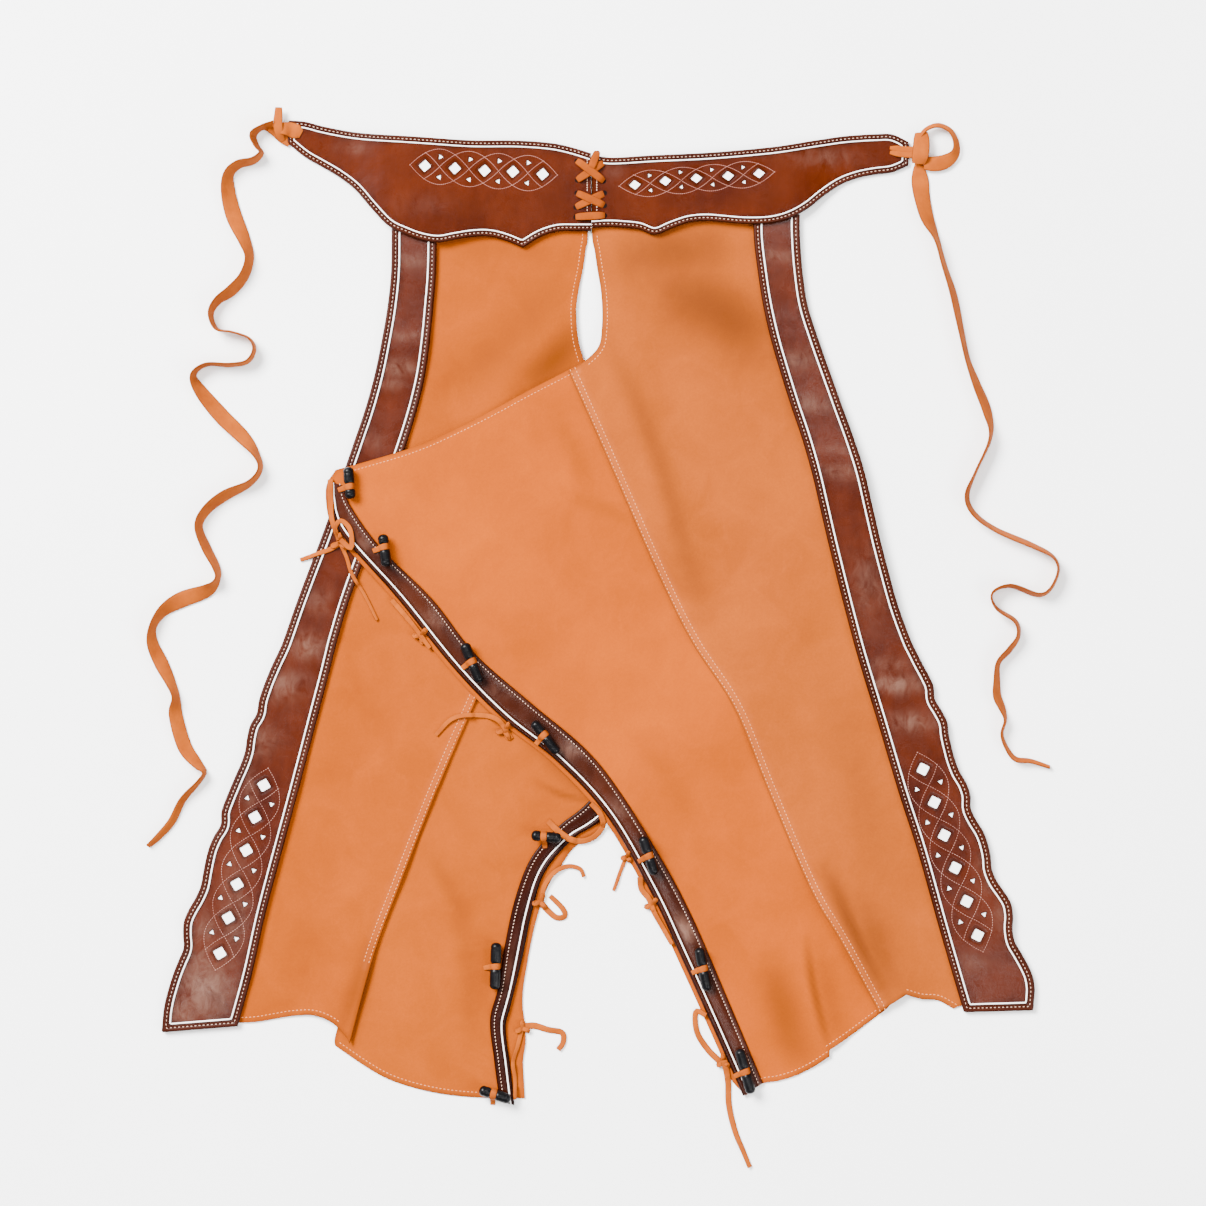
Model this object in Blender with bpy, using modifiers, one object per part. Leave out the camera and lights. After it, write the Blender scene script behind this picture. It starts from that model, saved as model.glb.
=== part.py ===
"""Leather chaps laid flat on a surface: two legs, side bands, laced belt, toggle strips and ties.

Every place is given in layout millimetres: across to the viewer's right and down towards the hems,
measured on the garment as it lies. The left leg lies on the surface and the right leg's flap lies on it.
"""
import math

import bmesh
import bpy
import numpy as np
from mathutils import Vector, geometry
from mathutils.bvhtree import BVHTree

MM = 0.001
CENTRE_ACROSS = 598.1
CENTRE_DOWN = 613.3

PANEL_THICK = 1.8
BASE_THICK = 3.0
STRIP_THICK = 2.4
BINDING_THICK = 1.4
PIPING_THICK = 1.9
UNDERLAY_THICK = 1.2
GAP = 0.3

# Lines of the trim from an edge: the edge, the end of the binding, the start and end of the piping.
BAND_TRIM = (0.0, 6.5, 6.8, 8.8)
BELT_TRIM = (0.0, 4.8, 5.1, 7.1)
UNDERLAY_INSET = 15.0

BAR_RADIUS = 5.2
BAR_END_RADIUS = 4.8
BAR_TIP_RADIUS = 3.3
BAR_TAPER = 4.0
BAR_ROUNDING = 0.7
BAR_SIDES = 8
BAR_SAMPLE_STEP = 0.8
BAR_TURNS = 41
NECK_RADIUS = 3.5
NECK_PLAY = 0.5
THONG_WIDTH = 6.4
THONG_THICK = 1.5
LACE_WIDTH = 8.0
LACE_THICK = 1.6
LACE_RISE = 0.9
TIE_THICK = 1.8

CELL = 4.0
FIELD_LEFT, FIELD_RIGHT = 130.0, 1090.0
FIELD_TOP, FIELD_BOTTOM = 90.0, 1190.0
DRAPE_REACH = 8.0
DRAPE_SOFTEN = 18.0
LIFT_ROUNDS = 60
LIFT_CLOSE = 0.0001
PANEL_SAMPLES = 10
ROW_SAMPLES = 9
STRAP_SAMPLES = 11
STRAP_PLAY = 0.2
FOOTPRINT_MARGIN = 1.12
SKY = 200.0

# Outer side bands, rows of across, down from the top end under the belt to the hem.
BAND_LEFT_OUTER = (
    (392, 204), (392, 230), (391, 278), (384, 330), (370, 394), (346, 466), (327, 523), (300, 594),
    (284, 640), (270, 671), (260, 698), (257, 714), (249, 729), (244.5, 755), (232, 785), (222, 811),
    (221.5, 824), (211, 843), (204, 870), (203, 881), (194, 902), (185, 918), (183.5, 940),
    (184, 948), (174, 973), (165, 1004), (162, 1032),
)
BAND_LEFT_INNER = (
    (436, 204), (436, 266), (431.5, 321), (424, 379), (403, 453), (349, 600), (325.5, 686), (298, 791),
    (278, 865), (264, 919), (252, 973), (237.5, 1026),
)
BAND_RIGHT_INNER = (
    (754.5, 200), (754.3, 240), (765.4, 316), (785, 387), (808, 459), (830, 551), (853, 640),
    (876, 716), (899, 793), (918, 852), (941, 934), (964, 1012),
)
BAND_RIGHT_OUTER = (
    (799.5, 200), (799.5, 234), (806.4, 301), (826, 362), (846, 419), (862, 466), (881.5, 548),
    (902, 620), (921, 662), (932.5, 684), (933.5, 697), (946, 720), (949, 738), (957, 767),
    (969, 790), (971, 811), (984, 834), (990, 855), (993, 875), (1009, 900), (1012.5, 914),
    (1013, 938), (1026, 962), (1034, 983), (1033, 1010),
)
SCALLOP_TOP = 640.0
SMOOTH_STEP = 34.0
SCALLOP_STEP = 13.0

# Low waves along each band, rows of down, lift.
BAND_LEFT_WAVES = (
    (200, 0), (262, 1.8), (300, 0.2), (345, 1.8), (392, 0), (600, 0), (640, 2.0), (668, 0.4),
    (702, 2.0), (735, 0), (990, 0), (1012, 1.0), (1032, 0.4),
)
BAND_RIGHT_WAVES = (
    (200, 0), (250, 1.8), (300, 0.2), (352, 1.8), (380, 0.4), (408, 1.4), (432, 0.3), (458, 1.8),
    (500, 0), (640, 0), (668, 2.6), (697, 0.4), (722, 2.4), (748, 0.2), (1012, 0),
)

# Belt halves, rows of across, down from the outer end to the laced centre.
BELT_LEFT_TOP = (
    (288.5, 120.5), (294, 119), (321, 126), (362, 133.6), (419, 138), (469, 141), (515, 141),
    (551, 143.5), (574, 148.5), (591.4, 154),
)
BELT_LEFT_BOTTOM_OUTER = (
    (287.5, 142.5), (305, 156.7), (337.5, 175.6), (362, 195.5), (373, 210), (388, 225.5), (405, 234.2),
    (434, 242.7), (463, 238.3), (485, 236), (507, 240.8), (522.8, 247.6),
)
BELT_LEFT_BOTTOM_INNER = ((522.8, 247.6), (529.4, 243.7), (544, 235), (558.7, 231.2), (591.4, 230.9))
BELT_RIGHT_TOP = (
    (908.5, 142), (902, 137), (886, 134.1), (846, 136.2), (811.5, 141.6), (774, 147.7), (714, 153),
    (652, 156), (612, 158.3), (592.1, 155.6),
)
BELT_RIGHT_BOTTOM_OUTER = (
    (908.5, 165), (897.6, 170.8), (864, 176), (840, 184.6), (817, 200.7), (800, 213.7), (774, 222.7),
    (744, 224), (698, 221.1), (667, 230), (654.9, 234.8),
)
BELT_RIGHT_BOTTOM_INNER = ((654.9, 234.8), (644, 230.3), (614, 227), (592.1, 228))
BELT_STEP = 17.0
BELT_TIP = 16.0
TRIM_SHARE_OF_WIDTH = 0.36
BELT_COVERS_TO = 214.0

# The leaf-shaped gap between the legs under the belt.
LEAF_LEFT = ((588, 232), (583, 269), (576.6, 302.6), (577.8, 336), (583.5, 359.4))
LEAF_RIGHT = ((591.8, 232), (597.3, 269.4), (602, 303), (599.6, 344), (586, 360.4))

# Double-stitched seam of each leg, rows of across, down from the crotch to the hem.
SEAM_LEFT = (
    (604, 368), (590, 400), (570, 445), (545, 505), (517, 575), (494, 640), (474.8, 690),
    (452, 742), (428, 799), (397, 879), (369, 954), (345, 1042),
)
SEAM_RIGHT = (
    (573, 370), (603, 437), (631, 501), (664, 576), (696, 640), (738, 705), (771, 785),
    (815, 888), (843, 936), (881, 1006),
)
SEAM_EDGE = 5.0
SEAM_UNDER = 11.0

# The flap's top edge and closure strip, rows of across, down from the crotch to the tip and the hem.
FLAP_TOP_RIGHT = (
    (583, 362), (560, 374.4), (528.6, 390.7), (478.6, 417.5), (421.4, 444.3), (371.4, 460.4),
    (336, 470),
)
FLAP_TOP_LEFT = ((600, 366), (630, 384), (673, 405), (719, 428), (765, 447), (805, 460), (840, 469))
FLAP_CORNER_LEFT = (852, 480)
STRIP_RIGHT_INNER = (
    (345, 486), (351, 506), (381.6, 548.4), (432.7, 599.4), (474.8, 653), (529.7, 701.6), (585.8, 749),
    (621, 793), (662, 859.6), (692.7, 918), (728, 1000), (763, 1083),
)
STRIP_RIGHT_OUTER = (
    (330, 482), (331, 512), (347, 541), (395.7, 596), (453, 667), (501.6, 717), (558, 762), (607, 816),
    (650, 891), (680, 955), (713.5, 1029), (743, 1096),
)
STRIP_LEFT_INNER = (
    (826, 497), (795, 560), (745, 632), (690, 700), (628, 758), (585, 805), (559, 826), (531.6, 857),
    (515.5, 897), (504.8, 945), (498, 988), (490, 1020), (494, 1060), (499.5, 1102),
)
STRIP_LEFT_OUTER = (
    (848, 508), (818, 575), (768, 650), (712, 719), (650, 778), (600, 821.5), (573, 839), (545, 872),
    (532, 912), (521.5, 962), (510, 1008), (505.7, 1028), (510, 1066), (514.5, 1105),
)
STRIP_STEP = 23.0
STRIP_PIPING_START = 5.1
STRIP_PIPING_END = 7.3
STRIP_EDGE_LIFT = 0.9
FLAP_MARGIN = 3.0
FLAP_BACKING_LEFT = (
    (604, 830), (577, 845), (559.7, 868), (546.3, 890), (533.8, 930), (525, 977), (522.3, 1002),
    (526, 1037), (523, 1060), (524.8, 1098.6),
)

# Leg sides under the bands and hems, rows of across, down.
SIDE_LEFT = (
    (402, 214), (405, 250), (396, 340), (374, 430), (338, 540), (302, 640), (264, 740),
    (226, 850), (200, 950), (178, 1020),
)
SIDE_RIGHT = (
    (788, 210), (788, 250), (800, 330), (822, 400), (850, 490), (873, 580), (900, 670), (926, 740),
    (955, 830), (985, 920), (1010, 980), (1018, 1002),
)
HEM_LEFT_FRONT = (
    (178, 1022), (236, 1023), (257, 1022), (297, 1015.6), (322.8, 1017), (337, 1026.6), (346, 1036),
)
HEM_LEFT_BACK = (
    (335, 1046), (354, 1059), (383, 1077), (411, 1087.5), (443.6, 1094.6), (479, 1098), (520, 1099),
)
HEM_RIGHT_BACK_OUTER = ((746, 1096), (762, 1084), (784, 1080), (808, 1070.4), (829.5, 1056.5))
HEM_RIGHT_BACK_INNER = ((829.5, 1050), (853, 1034.4), (888, 1008))
HEM_RIGHT_FRONT = (
    (877, 1014), (891, 1004), (905, 994.5), (917, 1000), (930, 997), (941, 1002.5), (953.5, 1009),
)
HEM_UNDER_BAND_RIGHT = ((966, 1005), (1000, 1003))
TOP_EDGE_LEFT = ((402, 156), (500, 156), (588, 166))
TOP_EDGE_RIGHT = ((592, 168), (700, 166), (788, 160))

EDGE_STEP = 19.0
GRID_STEP = 31.0

# Large folds, rows of panel, start across, start down, end across, end down, half width, height.
FOLDS = (
    ("panel_left_front", 558, 302, 478, 420, 26, 8.0),
    ("panel_left_front", 584, 330, 520, 398, 18, 4.0),
    ("panel_left_front", 366, 925, 336, 1024, 22, 5.0),
    ("panel_left_front", 392, 852, 322, 936, 24, 4.0),
    ("panel_left_back", 444, 850, 462, 985, 26, 5.0),
    ("panel_left_back", 470, 705, 440, 770, 20, 3.0),
    ("panel_left_back", 366, 1000, 380, 1070, 22, 4.0),
    ("panel_right_back", 392, 515, 612, 690, 30, 6.0),
    ("panel_right_back", 540, 412, 588, 478, 20, 4.0),
    ("panel_right_back", 560, 490, 650, 538, 22, 4.0),
    ("panel_right_back", 800, 950, 824, 1050, 22, 7.0),
    ("panel_right_back", 700, 835, 760, 905, 22, 3.5),
    ("panel_right_front", 905, 990, 820, 895, 30, 10.0),
    ("panel_right_front", 618, 330, 700, 620, 24, 4.5),
    ("panel_right_front", 640, 262, 728, 318, 30, 6.5),
)

# Cut-outs: centres across, down, and the size of each kind.
BAND_LEFT_DIAMONDS = ((264, 785), (255, 817), (246.4, 850), (237.2, 884), (228.5, 917.5), (220, 953))
BAND_RIGHT_DIAMONDS = ((922.7, 769), (934, 802), (944, 835), (955, 867.6), (966.4, 901), (977.4, 935))
BELT_LEFT_DIAMONDS = ((425.2, 166.7), (455, 168.9), (484.6, 170.8), (512.9, 171.8), (542.6, 174.4))
BELT_RIGHT_DIAMONDS = ((758.7, 174), (727.9, 176.4), (696.2, 178.6), (665.2, 181.3), (634.7, 185.2))
BAND_DIAMOND_REACH = 7.2
BELT_LEFT_DIAMOND_REACH = 6.3
BELT_RIGHT_DIAMOND_REACH = 5.6
BAND_TRIANGLE_REACH = 3.1
BELT_TRIANGLE_REACH = 2.9
BAND_TRIANGLE_SIDE = 12.6
BELT_LEFT_TRIANGLE_SIDE = 10.1
BELT_RIGHT_TRIANGLE_SIDE = 7.4
CUTTER_DEPTH = 30.0
CUTTER_MIDDLE = 6.0
UNDERLAY_PAST_CUTS = 11.0
BELT_UNDERLAY_HALF = 15.5

# Toggles, rows of name, first end across, down, last end across, down, neck as a share of the length.
TOGGLES = (
    ("right_1", 349.1, 467.4, 351.5, 499.5, 0.60),
    ("right_2", 383.6, 534.5, 387.6, 567.0, 0.38),
    ("right_3", 464.6, 643.0, 480.6, 682.5, 0.46),
    ("right_4", 533.5, 721.0, 557.8, 753.0, 0.42),
    ("right_5", 642.4, 835.5, 654.8, 874.0, 0.50),
    ("right_6", 698.8, 947.0, 707.4, 990.0, 0.48),
    ("right_7", 739.0, 1048.0, 751.0, 1092.7, 0.50),
    ("left_5", 531.5, 834.5, 561.5, 838.0, 0.40),
    ("left_6", 496.5, 942.0, 495.0, 989.0, 0.50),
    ("left_7", 479.5, 1088.5, 511.0, 1098.6, 0.44),
)

# Thong tails, rows of group, width, then the route as across, down pairs.
TAIL_ROUTES = (
    ("right_12", 6.0, ((331, 480), (331.5, 500), (333, 520), (340, 542))),
    ("right_12", 5.5, ((341, 540), (352, 548), (351, 530), (342, 521), (336, 528), (339, 540))),
    ("right_12", 5.0, ((341, 543), (331, 549), (317, 554), (300, 560))),
    ("right_12", 4.0, ((341, 544), (347, 558), (352, 574), (364, 594), (377, 620))),
    ("right_3", 5.5, ((392, 600), (404, 614), (417, 630), (430, 648))),
    ("right_4", 5.5, ((511, 739), (497, 719), (471, 715), (452, 719), (436, 735))),
    ("right_5", 4.2, ((626.5, 856), (620, 873), (613.5, 891))),
    ("right_6", 6.0, ((640, 877), (641.5, 889), (649, 899), (654, 912), (663, 928), (672, 944))),
    ("right_7", 6.4, ((720, 1062), (708, 1050), (697, 1032), (696, 1012), (706, 1015))),
    ("right_7", 6.4, ((724, 1060), (728, 1081), (729, 1105), (735, 1131), (744, 1153), (750, 1167.6))),
    ("left_loop", 6.6, ((548, 821), (557, 830), (570, 839), (583, 841), (595, 836), (603, 825),
                        (600, 813), (591, 803))),
    ("left_6", 6.2, ((541, 903), (549, 912), (557, 918), (565, 916), (562, 908), (550, 896))),
    ("left_6", 5.2, ((541, 902), (545, 885), (555, 872), (568, 866.5), (580, 869), (584, 877))),
    ("left_7", 6.6, ((522, 1027), (534, 1026), (548, 1030), (562, 1033), (563, 1043), (558, 1050))),
    ("left_7", 4.6, ((522, 1028), (518, 1045), (513, 1062), (515, 1080), (515, 1099))),
)
TAIL_STEP = 11.0
STRAND_LIFT = 0.13
TAIL_KNOT_HEIGHT = 6.0
# Knots of the tails, rows of group, across, down, half length across and down.
TAIL_KNOTS = (
    ("right_12", 340, 543, 7.0, 8.0),
    ("right_3", 421, 636, 7.0, 7.5),
    ("right_4", 505, 731, 6.5, 8.0),
    ("right_5", 627, 857, 4.0, 5.0),
    ("right_6", 652, 906, 5.0, 7.0),
    ("right_7", 723, 1062, 5.0, 6.0),
    ("left_6", 540.5, 902, 6.0, 6.5),
    ("left_7", 522.5, 1028, 6.0, 5.5),
)

# Lacing strands at the centre front, rows of piece, start across, down, end across, down, level.
LACES = (
    ("lacing_upper", 577, 161.5, 603.5, 181.5, 1),
    ("lacing_upper", 577.5, 180.5, 603, 163.5, 0),
    ("lacing_upper", 597.5, 152.5, 591, 170, 2),
    ("lacing_lower", 577, 193.5, 604.5, 206, 1),
    ("lacing_lower", 576, 207.5, 604.5, 193.5, 0),
    ("lacing_bar", 576, 217.5, 604.5, 216, 0),
)

# Waist ties, rows of across, down, width, turn of the strap in degrees: 0 lies flat, 90 stands on edge.
TIE_LEFT_ROUTE = (
    (272.6, 127.4, 17, 50), (262.5, 128.2, 17, 80), (253.6, 135.4, 17, 70), (257.1, 146.1, 17, 75),
    (262, 153.5, 17, 80), (253.6, 161.4, 17, 75), (239.3, 165, 17, 70), (229.3, 174.6, 17, 60),
    (228.5, 192, 17, 35), (234, 216, 17, 20), (245, 241, 17, 50), (250, 258, 17, 65),
    (244.6, 276.4, 17, 60), (232, 291, 17, 55), (218, 301.4, 17, 70), (211.4, 314, 17, 80),
    (217, 329, 17, 84), (232, 332, 17, 84), (249, 338, 17, 84), (255, 349, 17, 84), (248, 362, 17, 84),
    (230, 365.5, 17, 84), (207, 365, 17, 84), (194, 375, 17, 75), (201, 391, 17, 45),
    (221.4, 415.7, 17, 25), (243, 437, 17, 35), (257, 455, 17, 70), (260.7, 469.3, 17, 80),
    (250, 483.6, 17, 75), (225, 496, 17, 55), (207, 510.4, 17, 60), (199.3, 526.4, 17, 68),
    (207, 548, 17, 65), (217, 567.5, 17, 70), (217.9, 580, 17, 75), (207, 590.7, 17, 40),
    (182, 599.6, 17, 20), (164.3, 610.4, 16, 50), (153.6, 626.4, 16, 68), (153, 643, 16, 50),
    (161, 662, 16, 35), (171, 682, 16, 60), (176.5, 697, 16, 68), (176, 715, 16, 35),
    (184.6, 746.4, 15, 22), (198, 764, 14, 55), (205, 772, 13, 80), (199, 782, 12, 75),
    (183, 800, 11, 55), (172, 821.4, 10, 45), (158, 837.5, 9, 50), (148, 846.4, 7, 60),
)
TIE_RIGHT_ROUTE = (
    (919, 162.8, 8, 5), (919.6, 173, 15, 5), (920.4, 182, 18, 5), (922, 197, 18, 20), (927.4, 219, 18, 40),
    (936.6, 240, 17, 68), (944, 266, 17, 66), (953, 294, 17, 62), (960, 326.4, 17, 66),
    (967, 358.6, 17, 66), (976, 383.6, 17, 58), (987, 412, 17, 55), (990, 438, 17, 74),
    (975, 473, 17, 82), (966.6, 496, 17, 72), (974, 514, 17, 68), (996, 530, 17, 70),
    (1031, 545, 17, 72), (1052, 556, 17, 76), (1058, 570, 17, 76), (1050, 589, 17, 78),
    (1037, 595, 17, 80), (1010, 586, 17, 80), (992, 593, 17, 80), (996, 608, 17, 78),
    (1015, 621, 17, 76), (1018, 636, 16, 74), (1009, 650, 16, 66), (998, 663, 15, 66),
    (996.6, 682, 15, 58), (997, 696, 15, 53), (1002, 708, 14, 60), (1005.2, 720, 13, 76),
    (1001.8, 734, 12, 74), (1006.7, 748, 11, 66), (1015.6, 759, 10, 60), (1031, 761, 8, 62),
    (1050, 767, 5, 60),
)
TIE_STEP = 13.0
KNOT_RINGS = 16
KNOT_TURNS = 36
KNOT_LEFT_HEIGHT = 8.0
KNOT_RIGHT_HEIGHT = 11.0
KNOT_STEP = 8.5
SHORT_END_WIDTH = 6.5
LOOP_WIDTH = 5.0
LOOP_THICK = 3.5
KNOT_LEFT = (287.5, 128.5, 15.0, 9.5)
KNOT_RIGHT = (918.5, 150, 10.2, 13.0)
KNOT_RIGHT_LOOP = (
    (917, 142), (922, 136), (935.5, 127.5), (947, 131), (952, 142), (952.5, 155), (946, 164),
    (934, 166), (921, 157),
)
KNOT_LEFT_END = ((281, 127), (279.3, 118), (279, 108.5))


def fresh_scene():
    """Empty the file, and give the parts and the cutters a collection each."""
    for old in list(bpy.data.objects):
        bpy.data.objects.remove(old, do_unlink=True)
    groups = []
    for name in ("leather_chaps", "cutters"):
        group = bpy.data.collections.new(name)
        bpy.context.scene.collection.children.link(group)
        groups.append(group)
    return groups


def make_material(name, colour, roughness):
    """A plain Principled BSDF in the part's colour."""
    material = bpy.data.materials.new(name)
    material.use_nodes = True
    shader = material.node_tree.nodes["Principled BSDF"]
    shader.inputs["Base Color"].default_value = (*colour, 1.0)
    shader.inputs["Roughness"].default_value = roughness
    shader.inputs["Metallic"].default_value = 0.0
    return material


PARTS, CUTTERS = fresh_scene()
SOFT_TAN = make_material("soft_tan_leather", (0.74, 0.26, 0.085), 0.85)
GLOSSY_BROWN = make_material("glossy_brown_leather", (0.20, 0.052, 0.022), 0.35)
BINDING_BROWN = make_material("binding_brown_leather", (0.13, 0.032, 0.015), 0.45)
WHITE_CORD = make_material("white_piping", (0.86, 0.80, 0.78), 0.5)
WHITE_LEATHER = make_material("white_underlay_leather", (0.90, 0.88, 0.86), 0.6)
BLACK_HORN = make_material("black_horn", (0.012, 0.012, 0.014), 0.3)
SUEDE_TAN = make_material("tan_suede", (0.62, 0.24, 0.09), 0.9)


def place(across, down, height):
    """World metres of a layout point."""
    return ((across - CENTRE_ACROSS) * MM, (CENTRE_DOWN - down) * MM, height * MM)


def add_object(name, mesh, material, group=None):
    """Link a mesh as an object with its material; a cutter is hidden from the build."""
    made = bpy.data.objects.new(name, mesh)
    if material is not None:
        mesh.materials.append(material)
    if group is CUTTERS:
        made.hide_render = True
        made.display_type = "WIRE"
    (group or PARTS).objects.link(made)
    return made


def solid_from_faces(name, points, faces, material, group=None):
    """A closed solid from layout points and faces, its normals pointing out."""
    shape = bmesh.new()
    verts = [shape.verts.new(place(*point)) for point in points]
    for face in faces:
        shape.faces.new([verts[index] for index in face])
    bmesh.ops.recalc_face_normals(shape, faces=shape.faces)
    mesh = bpy.data.meshes.new(name)
    shape.to_mesh(mesh)
    shape.free()
    return add_object(name, mesh, material, group)


def smooth_curve(rows):
    """Close points on a Catmull-Rom curve through the rows, and the run along it at each."""
    rows = np.asarray(rows, float)
    ends = (2 * rows[0] - rows[1], 2 * rows[-1] - rows[-2])
    padded = np.vstack((ends[0], rows, ends[1]))
    share = np.linspace(0, 1, 12, endpoint=False)[:, None]
    pieces = []
    for before, start, end, after in zip(padded, padded[1:], padded[2:], padded[3:]):
        bend = (2 * before - 5 * start + 4 * end - after) * share ** 2
        twist = (3 * start - before - 3 * end + after) * share ** 3
        pieces.append(0.5 * (2 * start + (end - before) * share + bend + twist))
    curve = np.vstack(pieces + [rows[-1:]])
    steps = np.linalg.norm(np.diff(curve[:, :2], axis=0), axis=1)
    return curve, np.concatenate(([0.0], np.cumsum(steps)))


def read_curve(rows, runs):
    """Points of the smooth curve at the given runs along it."""
    curve, run = smooth_curve(rows)
    return np.column_stack([np.interp(runs, run, curve[:, k]) for k in range(curve.shape[1])])


def even_curve(rows, step):
    """Points about a step apart on the smooth curve, both ends kept."""
    length = smooth_curve(rows)[1][-1]
    count = max(2, round(length / step) + 1)
    return read_curve(rows, np.linspace(0, length, count))


def side_normals(line, towards):
    """Unit normals of a line on the side where the other line lies."""
    tangent = np.gradient(line, axis=0)
    normal = np.column_stack((tangent[:, 1], -tangent[:, 0]))
    normal /= np.linalg.norm(normal, axis=1)[:, None]
    facing = np.sign(np.sum(normal * (towards - line), axis=1))
    return normal * facing[:, None]


def shift_line(rows, distance, step):
    """The smooth line moved sideways; a positive distance is to the right when facing along it."""
    line = even_curve(rows, step)
    tangent = np.gradient(line, axis=0)
    normal = np.column_stack((-tangent[:, 1], tangent[:, 0]))
    return line + distance * normal / np.linalg.norm(normal, axis=1)[:, None]


class Ground:
    """Heights of all that lies below, on a square field over the layout."""

    def __init__(self):
        rows = int((FIELD_BOTTOM - FIELD_TOP) / CELL) + 1
        columns = int((FIELD_RIGHT - FIELD_LEFT) / CELL) + 1
        self.height = np.zeros((rows, columns))
        self.weights = {}
        self.surfaces = []
        self.tree = None
        self.waiting = None

    def wait(self, begin):
        """Hold back what is covered, so that one piece's strands share a level, or let it all in."""
        held, self.waiting = self.waiting, [] if begin else None
        for points, triangles in held or []:
            self.cover(points, triangles)

    def cells(self, points):
        """Row and column of each layout point."""
        column = np.rint((points[:, 0] - FIELD_LEFT) / CELL).astype(int)
        row = np.rint((points[:, 1] - FIELD_TOP) / CELL).astype(int)
        return (np.clip(row, 0, self.height.shape[0] - 1),
                np.clip(column, 0, self.height.shape[1] - 1))

    def shares(self, count):
        """Barycentric weights of a triangle's points, count steps a side."""
        if count not in self.weights:
            grid = [(i, j, count - i - j) for i in range(count + 1) for j in range(count + 1 - i)]
            self.weights[count] = np.array(grid, float) / count
        return self.weights[count]

    def cover(self, points, triangles):
        """Raise the field to the given triangles."""
        points = np.asarray(points, float)
        if self.waiting is not None:
            self.waiting.append((points, triangles))
            return
        self.surfaces.append((points, triangles))
        self.tree = None
        for corners in triangles:
            triangle = points[list(corners)]
            longest = max(np.linalg.norm(triangle[k] - triangle[k - 1]) for k in range(3))
            spread = self.shares(max(1, math.ceil(longest / (0.7 * CELL)))) @ triangle
            row, column = self.cells(spread)
            np.maximum.at(self.height, (row, column), spread[:, 2])

    def spread_discs(self, field, reach, gather):
        """Gather each cell's neighbours within a reach by maximum or by mean."""
        cells = int(math.ceil(reach / CELL))
        padded = np.pad(field, cells, mode="edge")
        total, count = None, 0
        for i in range(-cells, cells + 1):
            for j in range(-cells, cells + 1):
                if math.hypot(i, j) * CELL > reach + 0.5 * CELL:
                    continue
                rows = slice(cells + i, cells + i + field.shape[0])
                columns = slice(cells + j, cells + j + field.shape[1])
                view = padded[rows, columns]
                if total is None:
                    total = view.copy()
                else:
                    total = np.maximum(total, view) if gather == "highest" else total + view
                count += 1
        return total if gather == "highest" else total / count

    def draped(self):
        """A soft field over everything below."""
        wide = self.spread_discs(self.height, DRAPE_REACH + DRAPE_SOFTEN + CELL, "highest")
        return self.spread_discs(wide, DRAPE_SOFTEN, "mean")

    def read(self, field, points):
        """Field values at layout points, blended between cells."""
        x = np.clip((points[:, 0] - FIELD_LEFT) / CELL, 0, field.shape[1] - 1.001)
        y = np.clip((points[:, 1] - FIELD_TOP) / CELL, 0, field.shape[0] - 1.001)
        i, j = y.astype(int), x.astype(int)
        fy, fx = y - i, x - j
        upper = field[i, j] * (1 - fx) + field[i, j + 1] * fx
        lower = field[i + 1, j] * (1 - fx) + field[i + 1, j + 1] * fx
        return upper * (1 - fy) + lower * fy

    def tops(self, spots):
        """The exact height of the highest surface at each layout point."""
        if self.tree is None:
            points, faces = [], []
            for surface, triangles in self.surfaces:
                faces += [tuple(len(points) + index for index in face) for face in triangles]
                points += [tuple(point) for point in surface]
            self.tree = BVHTree.FromPolygons(points, faces, all_triangles=True)
        hits = [self.tree.ray_cast((across, down, SKY), (0, 0, -1))[0] for across, down in spots]
        return np.array([0.0 if hit is None else hit.z for hit in hits])

    def needed(self, points):
        """The height that a sheet must keep at layout points, GAP above all below."""
        wide = self.spread_discs(self.height, CELL, "highest")
        row, column = self.cells(points)
        below = wide[row, column]
        return below + np.minimum(GAP, below)


GROUND = Ground()


def rest_level(spots, offsets):
    """The lowest level at which a rigid piece's underside, given by offsets from it, is clear."""
    return float(np.max(GROUND.tops(spots) + GAP - offsets))


def strap_levels(undersides):
    """A level for each section of a strap, from the underside points of its sections."""
    corners, weights, spots, offsets = [], [], [], []
    rows = np.arange(len(undersides) - 1)
    for along in np.linspace(0, 1, STRAP_SAMPLES):
        between = undersides[:-1] * (1 - along) + undersides[1:] * along
        for side in range(between.shape[1]):
            spots.append(between[:, side, :2])
            offsets.append(between[:, side, 2])
            corners.append(np.column_stack((rows, rows + 1)))
            weights.append(np.tile((1 - along, along), (len(rows), 1)))
    needed = GROUND.tops(np.vstack(spots)) + GAP + STRAP_PLAY - np.concatenate(offsets)
    low = np.full(len(undersides), GAP) - undersides[:, :, 2].min(axis=1)
    return lift_clear(low, np.vstack(corners), np.vstack(weights), needed)


def lift_clear(levels, corners, weights, needed):
    """Raise a sheet's own points until every sample between them is as high as it must be."""
    levels = levels.copy()
    share = weights / np.sum(weights * weights, axis=1)[:, None]
    for _ in range(LIFT_ROUNDS):
        short = needed - np.sum(levels[corners] * weights, axis=1)
        if short.max() < LIFT_CLOSE:
            break
        raised = np.zeros_like(levels)
        step = np.maximum(short, 0.0)[:, None] * share
        for k in range(corners.shape[1]):
            np.maximum.at(raised, corners[:, k], step[:, k])
        levels += raised
    return levels


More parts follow.
